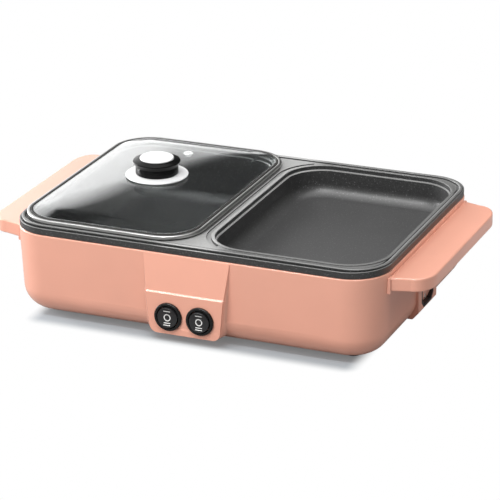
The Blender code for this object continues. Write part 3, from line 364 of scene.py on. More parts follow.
def carve(piece, tool, operation="DIFFERENCE"):
    """Boolean one tool into a piece and clear it away."""
    bake(piece, ("BOOLEAN", {"operation": operation, "solver": "EXACT", "object": tool}))
    bpy.data.objects.remove(tool, do_unlink=True)
    work = bmesh.new()
    work.from_mesh(piece.data)
    bmesh.ops.remove_doubles(work, verts=work.verts, dist=MERGE_DISTANCE)
    bmesh.ops.dissolve_degenerate(work, edges=work.edges, dist=THIN_EDGE)
    work.to_mesh(piece.data)
    work.free()
    smooth(piece.data)
    return piece


def soften(piece, width_mm, segments=3, angle=35):
    """Round the sharp edges, and let the flats keep their own shading."""
    bevel = {"width": width_mm * MM, "segments": segments, "limit_method": "ANGLE",
             "angle_limit": math.radians(angle), "harden_normals": True}
    return bake(piece, ("BEVEL", bevel))


def even(piece):
    """Let the large flat faces rule the shading where small faces meet them."""
    return bake(piece, ("WEIGHTED_NORMAL", {"keep_sharp": True}))


def dress(piece, finish, body, slot, *replaced):
    """Give a piece its finish, its body and the nodes that it stands for. The slot is not used."""
    piece.data.materials.clear()
    piece.data.materials.append(finish.material)
    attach(piece, body)
    if replaced:
        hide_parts(*replaced)
    return piece


# %% [markdown]
# The camera looks down at the cooker by about 21 degrees, from 23 degrees round to its right.
# Its long lens keeps the far edges nearly as wide as the near ones. Its three axes are worked
# out from those two angles and a very small roll.

# %% Camera
AZIMUTH, ELEVATION, ROLL = 22.963, 21.3135, -0.542
TARGET, DISTANCE = Vector((-0.0225, 0.0680, 0.0096)), 2.1824
FOCAL_LENGTH, SENSOR = 188.3, 36.0
turn, tilt = math.radians(AZIMUTH), math.radians(ELEVATION)
ahead = Vector((-math.sin(turn) * math.cos(tilt), math.cos(turn) * math.cos(tilt), -math.sin(tilt)))
right = Vector((math.cos(turn), math.sin(turn), 0))
axes = Matrix((right, right.cross(ahead), -ahead)).transposed()
lens = bpy.data.cameras.new("portrait_lens")
lens.lens, lens.sensor_width = FOCAL_LENGTH, SENSOR
lens.clip_start, lens.clip_end = 0.05, 50.0
camera = add_object("portrait_camera", lens)
camera.matrix_world = (Matrix.Translation(TARGET - ahead * DISTANCE) @ axes.to_4x4()
                       @ Matrix.Rotation(math.radians(ROLL), 4, "Z"))
scene.camera = camera
scene.view_settings.view_transform = "Standard"
print("camera at", [round(value, 4) for value in camera.matrix_world.translation])

# %% [markdown]
# The cooker stands on a white sweep that shows no horizon. Near the object the floor is a grey
# surface, so that it takes a real soft shadow, and it turns into even white further out, where
# only the camera looks. That fade from grey to white round the casing is partly painted
# shadow, and so is the blue-grey colour that only the camera sees there. From below it is
# clear, so that the underside can be looked at too.

# %% Floor
floor_mesh = bpy.data.meshes.new("studio_floor")
REACH = 6.0
corners = [(REACH * x, REACH * y, 0) for x, y in ((-1, -1), (1, -1), (1, 1), (-1, 1))]
floor_mesh.from_pydata(corners, [], [(0, 1, 2, 3)])
floor = add_object("studio_floor", floor_mesh)
paper = Finish("sweep_white", (0.9, 0.9, 0.92), 0.9, Specular_IOR_Level=0.1)
seen = paper.ray("Camera")
# Painted shadow tint: the camera sees the floor as a bluer grey than the grey that the lamps light.
paper.set(Base_Color=paper.blend(seen, (0.30, 0.30, 0.30), (0.30, 0.34, 0.37)))
# Painted shadow: towards the casing's footprint the floor fades from even white to lit grey, on top of the
# real shadow that it takes.
FOOTPRINT, SHADOW_REACH, SHADOW_LEAST = (0.128, 0.106, 0.0), 0.015, 0.15
away = paper.vector("ABSOLUTE", paper.place())
away = paper.vector("SUBTRACT", away, FOOTPRINT)
away = paper.vector("MAXIMUM", away, (0.0, 0.0, 0.0))
away = paper.vector("LENGTH", away, output="Value")
plain = paper.ease(away, 0.0, SHADOW_REACH, SHADOW_LEAST)
glow = paper.node("ShaderNodeEmission", {}, {"Color": (1.0, 1.0, 1.0), "Strength": 1.0})
paper.overlay(plain * seen, glow)
beneath = paper.node("ShaderNodeNewGeometry", output="Backfacing")
paper.overlay(beneath, paper.node("ShaderNodeBsdfTransparent"))
floor_mesh.materials.append(paper.material)
print("the shadow fades", SHADOW_REACH, "m from the casing")

# %% [markdown]
# Polished steel and glass mirror whatever is round them, so the world is drawn as a studio: a
# tall card behind and to the left, graded from white to dark, a bright ceiling, and dim walls
# in front. Only mirrored rays see these. Other rays see an even room that is a little
# brighter on the left, and the camera itself sees plain white.

# %% Studio surroundings
world = bpy.data.worlds.new("studio")
scene.world = world
studio = Nodes(world)
sky = studio.tree.nodes["Background"]
CARD_RISE, CARD_SLANT, CARD_FROM, CARD_TO, CARD_DARK, CARD_WHITE = 20, 80, -21.5, -32.5, 0.05, 2.3
FRONT_GLOSS, FRONT_FROM, FRONT_TO = 0.36, -0.6, -0.1
CEILING, CEILING_FROM, CEILING_TO = 2.2, 0.74, 0.88
ROOM, ROOM_TILT = 0.46, 0.18
toward = studio.node("ShaderNodeTexCoord", output="Generated")
side, depth, height = (studio.axis(toward, letter) for letter in "XYZ")
seen, mirrored = studio.ray("Camera"), studio.ray("Glossy")
slant = height * CARD_RISE + side * CARD_SLANT
card = studio.ease(slant, CARD_FROM, CARD_TO, CARD_DARK, CARD_WHITE, "SMOOTHERSTEP")
behind = studio.ease(depth, FRONT_FROM, FRONT_TO)
ceiling = studio.ease(height, CEILING_FROM, CEILING_TO, 0.0, CEILING)


def share_of(first, second, share):
    """Blend two plain numbers or wires in the world."""
    return studio.node("ShaderNodeMix", {"data_type": "FLOAT"}, {0: share, 2: first, 3: second})


shine = share_of(FRONT_GLOSS, card, behind) + ceiling
studio.feed(sky.inputs["Color"], share_of(share_of(ROOM - ROOM_TILT * side, shine, mirrored), 1.0, seen))
print("room light", ROOM, "with a graded card behind and to the left")


# %% [markdown]
# Soft lamps shape the cooker. The large ones fill, and the long strip above the front draws a
# thin pale line along every rounded edge. A lamp that would show as a square in the glass is
# hidden from mirrored rays.

# %% Lamps
def lamp(name, place, aim, size, power, mirrored=True):
    """A soft rectangular lamp aimed at a point, which shiny surfaces may or may not mirror."""
    light = bpy.data.lights.new(name, "AREA")
    light.shape, light.size, light.size_y = "RECTANGLE", size[0], size[1]
    light.energy = power
    holder, place, aim = add_object(name, light), Vector(place), Vector(aim)
    turned = (aim - place).to_track_quat("-Z", "Y").to_matrix()
    holder.matrix_world = Matrix.Translation(place) @ turned.to_4x4()
    holder.visible_glossy = mirrored


lamp("key_softbox", (-0.32, -1.0, 0.55), (-0.02, 0, 0.05), (0.6, 0.5), 3.5, mirrored=False)
lamp("overhead_softbox", (0.0, -0.62, 1.25), (0, 0, 0.06), (1.3, 0.9), 6)
lamp("edge_strip", (0.0, -0.70, 1.20), (0, 0, 0.06), (1.3, 0.10), 9.5)
lamp("back_softbox", (-1.3, 0.75, 0.75), (0, 0, 0.06), (0.7, 0.5), 9, mirrored=False)
lamp("left_softbox", (-1.5, 0.1, 0.32), (-0.1, 0, 0.05), (0.5, 0.4), 20)
lamp("right_softbox", (0.47, 0.38, 0.36), (0.17, 0.10, 0.06), (0.3, 0.25), 1.5, mirrored=False)


# %% [markdown]
# The casing is moulded in a warm pink plastic with a satin face. A mould leaves the very
# finest orange-peel texture, and the pigment is not perfectly even, so two noises drive the
# colour, the roughness and a shallow bump.

# %% Plastic and rubber
def moulded(name, color, roughness, peel_mm, shade=0.05, **fixed):
    """A moulded plastic with uneven pigment and a fine peel on its face."""
    made = Finish(name, color, roughness, **fixed)
    cloud = made.noise(38, 3)
    fine = made.noise(peel_mm, 2)
    darker = tuple(channel * (1 - shade) for channel in color)
    lighter = tuple(min(1.0, channel * (1 + shade)) for channel in color)
    made.set(Base_Color=made.blend(cloud, darker, lighter), Roughness=roughness - 0.05 + 0.1 * fine,
             Normal=made.bump(fine, 0.02))
    return made


pink_satin = moulded("pink_satin", (0.800, 0.385, 0.280), 0.36, 0.9, Coat_Weight=0.5, Coat_Roughness=0.10)
deep_black = moulded("deep_black", (0.004, 0.004, 0.004), 0.30, 0.5, Specular_IOR_Level=0.12)
black_gloss = moulded("black_gloss", (0.008, 0.008, 0.008), 0.24, 1.4, 0.2, Specular_IOR_Level=0.3)
black_satin = moulded("black_satin", (0.016, 0.016, 0.017), 0.38, 0.5, 0.2)
black_rubber = moulded("black_rubber", (0.024, 0.023, 0.022), 0.75, 0.35, 0.25)
white_print = moulded("white_print", (0.82, 0.82, 0.80), 0.5, 0.3)
white_ceramic = moulded("white_ceramic", (0.72, 0.69, 0.62), 0.45, 0.6)
print("plastics:", len(bpy.data.materials) - 1)

# %% [markdown]
# The pan is cast aluminium with a dark non-stick coating, sprayed on and baked. Close up it
# is a field of tiny pale flecks in dark grey. A Voronoi pattern gives the flecks, and a noise
# gives the slightly pebbled film. Light and shade are painted into the coating's grey as
# well: painted shade makes it darkest on upright faces and dark on the well floors down in
# their recesses, and painted light makes it paler on the flange, palest on the web between
# the wells as a painted sheen, and paler where a well's cove turns to face up. Normal and
# position tell the nodes which face they are on.

# %% Pan coating
coat = Finish("pan_coat", (0.05, 0.05, 0.05), 0.42, Specular_IOR_Level=0.75)
# Lit and shaded copies of one coating: painted shade on uprights and well floors, painted light on the
# flange and a painted sheen on the web.
SHADED_UPRIGHT, SHADED_WELL_FLOOR = ((0.016,) * 3, (0.024,) * 3), ((0.036,) * 3, (0.048,) * 3)
LIT_FLANGE, WEB_SHEEN = ((0.115, 0.115, 0.113), (0.145, 0.145, 0.142)), (0.36, 0.36, 0.355)
SMALL_FLECK, LARGE_FLECK = (0.11,) * 3, (0.22,) * 3
LOOKS_UP, FLANGE_HEIGHT, WEB_SIDE = (0.15, 0.8), (66 * MM, 74 * MM), (34 * MM, 12 * MM)
mottle, pebble = coat.noise(26, 3), coat.noise(0.8, 3)


def flecks(cells_per_metre, *stops):
    """Round spots at the middles of a Voronoi pattern's cells, half as strong as the stops say."""
    inputs = {"Vector": coat.place(), "Scale": cells_per_metre}
    return coat.ramp(coat.node("ShaderNodeTexVoronoi", {"feature": "F1"}, inputs), *stops) * 0.5


upright, well_floor, flange = (coat.blend(mottle, *pair) for pair in (SHADED_UPRIGHT, SHADED_WELL_FLOOR, LIT_FLANGE))
facing, spot = (coat.node("ShaderNodeNewGeometry", output=name) for name in ("True Normal", "Position"))
# The more a face looks up, the more painted light it takes; the rest keeps the painted shade of the
# uprights.
level = coat.ease(coat.axis(facing, "Z"), *LOOKS_UP)
raised = coat.ease(coat.axis(spot, "Z"), *FLANGE_HEIGHT, kind="LINEAR")
middle = coat.ease(coat.axis(spot, "X").math("ABSOLUTE", 0.0), *WEB_SIDE)
tone = coat.blend(middle * raised, coat.blend(raised, well_floor, flange), WEB_SHEEN)
tone = coat.blend(level, upright, tone)
tone = coat.blend(flecks(1100.0, (0.0, 1.0), (0.30, 0.35), (0.55, 0.0)), tone, SMALL_FLECK)
tone = coat.blend(flecks(420.0, (0.0, 1.0), (0.16, 0.6), (0.24, 0.0)), tone, LARGE_FLECK)
coat.set(Base_Color=tone, Roughness=0.34 + 0.14 * pebble, Normal=coat.bump(pebble, 0.03))
print("nodes in the pan's coating:", len(coat.tree.nodes))


# %% [markdown]
# Metal takes nearly all its look from what it mirrors. The lid's band is brushed along its
# length, and the hidden steel is plainer. Brushing is a noise stretched far along one
# direction. The polished plating of the knob's cap and disc and of the vent's eyelet mirrors
# the bright studio and looks almost white from every side, so that reflection is painted in:
# it is drawn as a smooth white that is hardly metallic.

# %% Metals
def metal(name, color, roughness, brush=(1, 1, 1), grain_mm=0.6, depth_mm=0.006, spread=0.12, metallic=1.0):
    """A bare metal whose roughness and bump follow its brushing."""
    made = Finish(name, color, roughness, metallic)
    grain = made.noise(grain_mm, 3, brush)
    worn = made.noise(30, 3)
    dull = tuple(channel * 0.88 for channel in color)
    made.set(Base_Color=made.blend(worn, dull, color), Roughness=roughness - spread / 2 + spread * grain,
             Normal=made.bump(grain, depth_mm))
    return made


band_steel = metal("band_steel", (0.52, 0.52, 0.51), 0.30, (1, 1, 8), 0.9)
# Painted reflection: the near-white base stands in for the bright studio that the polished plating would
# mirror.
chrome_painted_white = metal("chrome_painted_white", (0.93, 0.93, 0.93), 0.20, grain_mm=3.0, depth_mm=0.002, spread=0.04,
                      metallic=0.02)
plain_steel = metal("plain_steel", (0.50, 0.49, 0.48), 0.36)
tray_steel = metal("tray_steel", (0.62, 0.62, 0.62), 0.30, (1, 12, 12))
heater_sheath = metal("heater_sheath", (0.30, 0.28, 0.26), 0.45)
pin_brass = metal("pin_brass", (0.72, 0.60, 0.40), 0.22)
pin_nickel = metal("pin_nickel", (0.74, 0.72, 0.69), 0.20)
print("finishes so far:", len(bpy.data.materials))

# %% [markdown]
# The lid's glass is clear and slightly grey. A lamp's light would need many samples to find
# its way through real glass, so for shadow rays alone the glass is treated as transparent.
# The three wires inside get their colours here as well.

# %% Glass and wires
lid_clear = Finish("lid_clear", (0.78, 0.80, 0.80), 0.015, Transmission_Weight=1.0, IOR=1.5)
smear = lid_clear.noise(45, 3)
lid_clear.set(Roughness=0.008 + 0.03 * smear)
through = lid_clear.node("ShaderNodeBsdfTransparent", {}, {"Color": (0.70, 0.72, 0.72)})
lid_clear.overlay(lid_clear.ray("Shadow"), through)
lead_finish = {shade: moulded(f"lead_{shade}", color, 0.45, 0.5) for shade, color in
               (("brown", (0.16, 0.06, 0.03)), ("blue", (0.04, 0.11, 0.42)), ("green", (0.10, 0.36, 0.06)))}
print("finishes:", len(bpy.data.materials))


# %% [markdown]
# The casing is one moulding, thin everywhere. Its section goes up the outside with a little
# draft, which lets the part leave its mould, and down the inside 2.2 mm away. Swept round
# the outline it closes into a shell, open above and below. A small radius on the top edge
# catches the light as a pale line.

# %% Casing
EDGE, DRAFT_ANGLE, SHELL_LIP = 1.2, 2.5, 17.0


def wall_inset(height):
    """How far the outer face lies inside the top outline at a height."""
    drafted = (TOP_Z - height) * math.tan(math.radians(DRAFT_ANGLE))
    if height >= BASE_Z + FILLET:
        return drafted
    drop = BASE_Z + FILLET - height
    return DRAFT_RUN + FILLET - math.sqrt(FILLET ** 2 - drop ** 2)


turned_in = DRAFT_RUN + FILLET
opening = turned_in + SHELL_LIP
outside = [(opening, BASE_Z)] + arc(turned_in, BASE_Z + FILLET, FILLET, 270, 180, 14)
outside += arc(EDGE, TOP_Z - EDGE, EDGE, 180, 90, 5)
inside = [(WALL, TOP_Z), (WALL, TOP_Z - EDGE)]
inside += arc(turned_in, BASE_Z + FILLET, FILLET - WALL, 180, 270, 10) + [(opening, BASE_Z + WALL)]
casing = sweep("casing", body_line, outside + inside, closed=True)
print("casing section has", len(outside + inside), "points")

# %% [markdown]
# The control panel is raised 5.5 mm from the front wall. Its face stands upright below and
# leans back above a shallow ridge, and its foot has two round corners. It could be a bent
# box, but levels of four corners let every height have its own width and depth. The switch
# holes are cut last, once the panel has become part of the wall.

# %% Control panel
PANEL_TOP_HALF, PANEL_RIDGE_HALF, PANEL_LOW_HALF = 36.3, 32.3, 29.7
PANEL_RIDGE_Z, PANEL_BOTTOM_Z, PANEL_CORNER, PANEL_TOP_Z = 41.1, 8.0, 6.5, 71.0
PANEL_LEAN, SPLAY_LEFT, SPLAY_RIGHT, PANEL_STEP, SWITCH_HOLE = 5.35, 0.70, 0.26, 1.2, 10.0


def control_panel():
    """The raised panel as levels of four corners."""
    low_half = PANEL_LOW_HALF - PANEL_CORNER
    edge = [(low_half, PANEL_BOTTOM_Z)]
    edge += arc(low_half, PANEL_BOTTOM_Z + PANEL_CORNER, PANEL_CORNER, 270, 360, 12)[1:]
    levels = [(half, height, PANEL_FACE) for half, height in edge + [(PANEL_RIDGE_HALF, PANEL_RIDGE_Z)]]
    share = (PANEL_TOP_Z - PANEL_RIDGE_Z) / (TOP_Z - PANEL_RIDGE_Z)
    top_half = PANEL_RIDGE_HALF + (PANEL_TOP_HALF - PANEL_RIDGE_HALF) * share
    levels += [(PANEL_RIDGE_HALF + 0.2, PANEL_RIDGE_Z + PANEL_STEP, PANEL_FACE - PANEL_STEP),
               (top_half, PANEL_TOP_Z, PANEL_FACE - PANEL_LEAN * share)]
    work = bmesh.new()
    loops = []
    for half, height, front in levels:
        back = HALF_Y - wall_inset(height) - WALL / 2
        left, right = half + SPLAY_LEFT * (front - back), half + SPLAY_RIGHT * (front - back)
        corners = ((-half, -front), (half, -front), (right, -back), (-left, -back))
        loops.append([work.verts.new((x, y + MIDDLE_Y, height)) for x, y in corners])
    join_loops(work, loops)
    return finish_mesh("panel_tool", work)


panel = soften(control_panel(), 1.0, segments=4, angle=9)
carve(casing, panel, "UNION")
reach_out = PANEL_FACE + 1
for x in (-SWITCH_X, SWITCH_X):
    carve(casing, bar("hole_tool", SWITCH_HOLE, (x, -reach_out, SWITCH_Z), (x, 6 - reach_out, SWITCH_Z), 72))
dress(even(casing), pink_satin, "cooker", "pink_plastic", "housing_shell")
print("casing faces:", len(casing.data.polygons))

# %% [markdown]
# The two handles are thick slabs that grow out of the end walls. Seen from above each one is
# straight at its root and draws in to a rounded tip. A thin flange at the root hides the
# joint, and the slab's back is cut to the wall's own shape, so that the two fit.

# %% Handles
HANDLE_LOW_Z, HANDLE_THICK, HANDLE_REACH = 57.2, 10.8, 30.0
ROOT_HALF, WAIST_HALF, TIP_HALF = 89.5, 85.5, 65.0
FLANGE_HALF, FLANGE_THICK, FLANGE_LOW, FLANGE_HIGH = 91.2, 1.2, 55.2, 68.3


def handle(name, sign, node):
    """One handle, on the right for 1 and on the left for -1."""
    waist = HALF_X + HANDLE_REACH / 2
    half = [(HALF_X - CORNER / 2, ROOT_HALF), (HALF_X + FLANGE_THICK, ROOT_HALF)]
    for u, v in arc(0, 0, 1.0, 0, 90, 24):
        half.append((waist + HANDLE_REACH / 2 * v, TIP_HALF + (WAIST_HALF - TIP_HALF) * u))
    outline = [(sign * x, sign * y) for x, y in [(x, -y) for x, y in reversed(half)] + half]
    slab = prism(name, outline, HANDLE_LOW_Z, HANDLE_LOW_Z + HANDLE_THICK, "Z")
    soften(slab, 1.3, segments=5, angle=50)
    near, far = sign * (HALF_X - CORNER / 2), sign * (HALF_X + FLANGE_THICK)
    root = block("root_tool", (near, -FLANGE_HALF, FLANGE_LOW), (far, FLANGE_HALF, FLANGE_HIGH))
    carve(slab, soften(root, 0.6), "UNION")
    wall = [(wall_inset(height) - GAP, height) for height in (FLANGE_LOW - 2, TOP_Z)]
    carve(slab, sweep("wall_tool", body_line, wall))
    return dress(even(slab), pink_satin, "cooker", "pink_plastic", node)


handles = [handle("handle_on_left", -1, "handle_left"), handle("handle_on_right", 1, "handle_right")]
print("handles:", [len(piece.data.polygons) for piece in handles])


# %% [markdown]
# The mains inlet sits in a block under the right handle. A rounded hood above it carries on
# down as a flat pad. All of it has one section from front to back, so a prism makes it, and
# the hole for the socket is cut with the socket's own outline, a little larger.

# %% Inlet block
PAD_HALF, PAD_LOW_Z, CHAMFER_Z, CHAMFER_X = 21.5, 12.6, 6.5, 5.2
HOOD_REACH, HOOD_LOW_Z, HOOD_ROUND, BLOCK_DEPTH, HOOD_DEPTH = 19.0, 42.0, 8.0, 12.0, 6.0
SOCKET_W, SOCKET_H, SOCKET_Z, SOCKET_CORNER = 28.0, 20.0, 23.0, 5.5
back, step_z = HALF_X - BLOCK_DEPTH, HOOD_LOW_Z - HOOD_ROUND / 2
tip, hood_top, hood_back = HALF_X + HOOD_REACH, HANDLE_LOW_Z - GAP, HALF_X - HOOD_DEPTH
section = [(back, CHAMFER_Z), (HALF_X - CHAMFER_X, CHAMFER_Z), (HALF_X, PAD_LOW_Z), (HALF_X, HOOD_LOW_Z)]
section += arc(tip - HOOD_ROUND, HOOD_LOW_Z + HOOD_ROUND, HOOD_ROUND, 270, 360, 16)
section += [(tip, hood_top), (hood_back, hood_top), (hood_back, step_z), (back, step_z)]
inlet_block = prism("inlet_block", section, -PAD_HALF, PAD_HALF, "Y")
soften(inlet_block, 0.7, segments=4, angle=30)


def socket_outline(inset):
    """The inlet's face in Y and Z, with its two lower corners cut off."""
    half_y, half_z, cut = SOCKET_W / 2 - inset, SOCKET_H / 2 - inset, SOCKET_CORNER - inset / 2
    corners = [(-half_y + cut, -half_z), (half_y - cut, -half_z), (half_y, -half_z + cut), (half_y, half_z),
               (-half_y, half_z), (-half_y, -half_z + cut)]
    return [(y, SOCKET_Z + z) for y, z in corners]


carve(inlet_block, prism("socket_tool", socket_outline(-GAP), HALF_X - 30, HALF_X + 30, "X"))
dress(even(inlet_block), pink_satin, "cooker", "pink_plastic", "inlet_housing")
print("inlet block faces:", len(inlet_block.data.polygons))

# %% [markdown]
# The black socket's rim lies flush with the pink. It is the common three-pin inlet: two
# corners cut off, and the earth pin a little lower than the other two.

# %% Socket and pins
SOCKET_RIM, SOCKET_LENGTH, SOCKET_DEEP, PIN_PITCH, PIN_DROP = 2.2, 22.0, 16.0, 14.0, 3.5
socket = prism("inlet_socket", socket_outline(0), HALF_X - SOCKET_LENGTH, HALF_X, "X")
carve(socket, prism("socket_tool", socket_outline(SOCKET_RIM), HALF_X - SOCKET_DEEP, HALF_X + 1, "X"))
soften(socket, 0.4, 3)
dress(socket, black_satin, "cooker", "black_plastic", "inlet_body")
for sign, role in ((-1, "live"), (0, "earth"), (1, "neutral")):
    y, z = sign * PIN_PITCH / 2, SOCKET_Z - (0 if sign else PIN_DROP)
    pin = block(f"{role}_pin", (HALF_X - SOCKET_LENGTH - 6, y - 1, z - 2), (HALF_X - 2, y + 1, z + 2))
    dress(soften(pin, 0.6, 3), pin_nickel, "cooker", "brass", f"inlet_pin_{role}")
print("socket faces:", len(socket.data.polygons))

# %% [markdown]
# Both wells are one casting with a common flange. Its plate comes first: a skirt that hangs
# over the casing, a bead round the edge, and a groove on each side of the bead. A profile is
# swept for each, and Booleans join or cut them.

# %% Pan plate and bead
LIP, LIP_WIDE, SKIRT, REVEAL, TRIM = 77.6, 1.0, 3.0, 0.4, 0.3
BEAD_END, BEAD_SIDE, BEAD_WIDE, BEAD_RISE, GROOVE_WIDE, GROOVE_DEEP = 2.7, 5.6, 3.0, 1.0, 1.8, 1.4
plate_low, skirt_low, inner = FLANGE_Z - 3.0, TOP_Z + GAP, REVEAL + SKIRT
rim = [(inner, plate_low), (inner, skirt_low + TRIM), (inner - TRIM, skirt_low), (REVEAL + 0.5, skirt_low)]
rim += arc(REVEAL + 0.5, skirt_low + 0.5, 0.5, 270, 180, 4) + arc(REVEAL + 0.5, LIP - 0.5, 0.5, 180, 90, 6)
shoulder = BEAD_SIDE - BEAD_WIDE / 2
rim += [(REVEAL + LIP_WIDE, LIP), (REVEAL + LIP_WIDE + TRIM, LIP - TRIM), (shoulder - 0.1, LIP - TRIM),
        (shoulder, FLANGE_Z)]
pan = sweep("double_pan", body_line, rim)


def trimmed(first, last, start, end):
    """A rectangular section between two insets, with its two corners at the end height broken."""
    ease = math.copysign(TRIM, start - end)
    return [(first, start), (first, end + ease), (first + TRIM, end), (last - TRIM, end), (last, end + ease),
            (last, start)]


def work_pan(line, section, operation="DIFFERENCE", closed=True, x=0):
    """Sweep a section round a line, and cut it out of the pan or join it."""
    carve(pan, sweep("pan_tool", line, section, closed, (x, 0)), operation)


above = FLANGE_Z + 0.6
outer_groove = trimmed(REVEAL + LIP_WIDE + TRIM + 0.1, shoulder - 0.1, above, FLANGE_Z - 2.3)
work_pan(body_line, outer_groove)
bead = [(BEAD_WIDE / 2, FLANGE_Z - 2), (-BEAD_WIDE / 2, FLANGE_Z - 2)]
bead += [(-BEAD_WIDE / 2 * u, FLANGE_Z + BEAD_RISE * v) for u, v in arc(0, 0, 1, 0, 180, 12)]
bead_line = (HALF_X - BEAD_END, HALF_Y - BEAD_SIDE, CORNER - (BEAD_END + BEAD_SIDE) / 2)
work_pan(bead_line, bead, "UNION")
work_pan(bead_line, trimmed(BEAD_WIDE / 2, BEAD_WIDE / 2 + GROOVE_WIDE, above, FLANGE_Z - GROOVE_DEEP))
print("plate faces:", len(pan.data.polygons))

# %% [markdown]
# Each well has a bowl below, a small ridge round its mouth, a step inside and a cove at its
# foot. The bowls and ridges are added first and both cavities are cut last, so that nothing
# that is added can fill them again. A shallow channel runs along the web between the wells.

# %% Pan wells
RIDGE_WIDE, RIDGE_RISE, RIDGE_EASE, STEP_DROP, LEDGE = 3.0, 0.75, 0.6, 3.1, 1.2
COVE, PAN_WALL, POT_FLOOR, GRILL_FLOOR, WELL_DRAFT, MOUTH, ROOT = 11.0, 2.5, 33.2, 54.2, 4, 0.2, 1.5
CHANNEL_WIDE, CHANNEL_DEEP, CHANNEL_SPAN = 3.8, 1.4, 20.0
well_line = (WELL_HALF_X, WELL_HALF_Y, WELL_CORNER)


def well_foot(floor_z):
    """Where a well's cove begins: its inset and height."""
    run = (FLANGE_Z - STEP_DROP - floor_z - COVE) * math.tan(math.radians(WELL_DRAFT))
    return MOUTH + LEDGE + run, floor_z + COVE


wells = ((-WELL_X, POT_FLOOR), (WELL_X, GRILL_FLOOR))
for x, floor_z in wells:
    foot, cove_z = well_foot(floor_z)
    bowl = [(-PAN_WALL, FLANGE_Z - ROOT)] + arc(foot + COVE, cove_z, COVE + PAN_WALL, 180, 270, 12)
    work_pan(well_line, bowl, "UNION", closed=False, x=x)
    near_edge, far_edge = RIDGE_EASE - RIDGE_WIDE, -RIDGE_WIDE - CHANNEL_WIDE
    low, high = FLANGE_Z - CHANNEL_DEEP, FLANGE_Z + 1
    groove = [(near_edge, low), (far_edge + TRIM, low), (far_edge, low + TRIM), (far_edge, high),
              (near_edge, high)]
    groove = sweep("groove_tool", well_line, groove, closed=True, centre=(x, 0))
    web = block("web_tool", (-CHANNEL_SPAN, -HALF_Y, low - 1), (CHANNEL_SPAN, HALF_Y, high + 1))
    carve(pan, carve(groove, web, "INTERSECT"))
    top, low = FLANGE_Z + RIDGE_RISE, FLANGE_Z - ROOT
    ridge = [(LEDGE, low), (-RIDGE_WIDE, low), (-RIDGE_WIDE, FLANGE_Z)]
    ridge += [(-RIDGE_WIDE + RIDGE_EASE / 3, top - 0.2), (-RIDGE_WIDE + RIDGE_EASE, top), (LEDGE, top)]
    work_pan(well_line, ridge, "UNION", x=x)
for x, floor_z in wells:
    foot, cove_z = well_foot(floor_z)
    top, ledge_z = FLANGE_Z + RIDGE_RISE, FLANGE_Z - STEP_DROP
    cavity = [(-0.5, top + 1), (-0.4, top), (0.0, top - 0.4), (MOUTH, ledge_z + 0.4), (0.6, ledge_z)]
    cavity += [(LEDGE - 0.2, ledge_z), (MOUTH + LEDGE, ledge_z - 0.4)]
    cavity += arc(foot + COVE, cove_z, COVE, 180, 270, 16)
    work_pan(well_line, cavity, closed=False, x=x)
dress(even(pan), coat, "cooker", "pan_coating", "pan")
print("pan faces:", len(pan.data.polygons))

# %% [markdown]
# The lid is three things that stay together: a rolled band of bright steel, a thin black
# gasket inside it, and the pressed glass. Band and gasket keep one section all the way
# round, so each is swept and closed on itself.

# %% Lid band and gasket
LID_X, LID_HALF_X, LID_HALF_Y, LID_CORNER = -76.8, 75.3, 108.5, 32.0
LID_LOW, BAND_HIGH, BAND_WIDE, SHELF, SHELF_THICK = 79.5, 2.75, 2.9, 6.5, 0.65
GLASS_THICK, SEAL_WIDE = 2.3, 1.5
lid_line, lid_middle = (LID_HALF_X, LID_HALF_Y, LID_CORNER), (LID_X, 0)
band_top, shelf_top = LID_LOW + BAND_HIGH, LID_LOW + SHELF_THICK
band = [(TRIM, LID_LOW), (0, LID_LOW + TRIM)] + arc(0.9, band_top - 0.9, 0.9, 180, 90, 6)
band += arc(BAND_WIDE - 0.5, band_top - 0.5, 0.5, 90, 0, 4)
band += [(BAND_WIDE, shelf_top), (SHELF, shelf_top), (SHELF, LID_LOW)]
lid_band = sweep("lid_band", lid_line, band, closed=True, centre=lid_middle)
dress(lid_band, band_steel, "lid", "chrome", "lid_rim")
near_edge, low = BAND_WIDE + GAP, shelf_top + GAP
seal = trimmed(near_edge, near_edge + SEAL_WIDE, low, low + GLASS_THICK)
gasket = sweep("lid_seal", lid_line, seal, closed=True, centre=lid_middle)
dress(gasket, black_rubber, "lid", "rubber", "lid_gasket")
print("lid band and gasket faces:", len(lid_band.data.polygons), len(gasket.data.polygons))

# %% [markdown]
# The glass rises quickly near its edge and then hardly at all, and that change of slope shows
# as a faint crease. A flat pane could be bent by a modifier, but stacked outlines give the
# slope at every step.

# %% Lid glass
BORDER, CROWN, BORDER_STEPS, CROWN_STEPS, GROUND_EDGE = 14.0, 4.44, 14, 16, 0.15
EDGE_SLOPE, CREASE_SLOPE = math.tan(math.radians(14)), math.tan(math.radians(10.5))


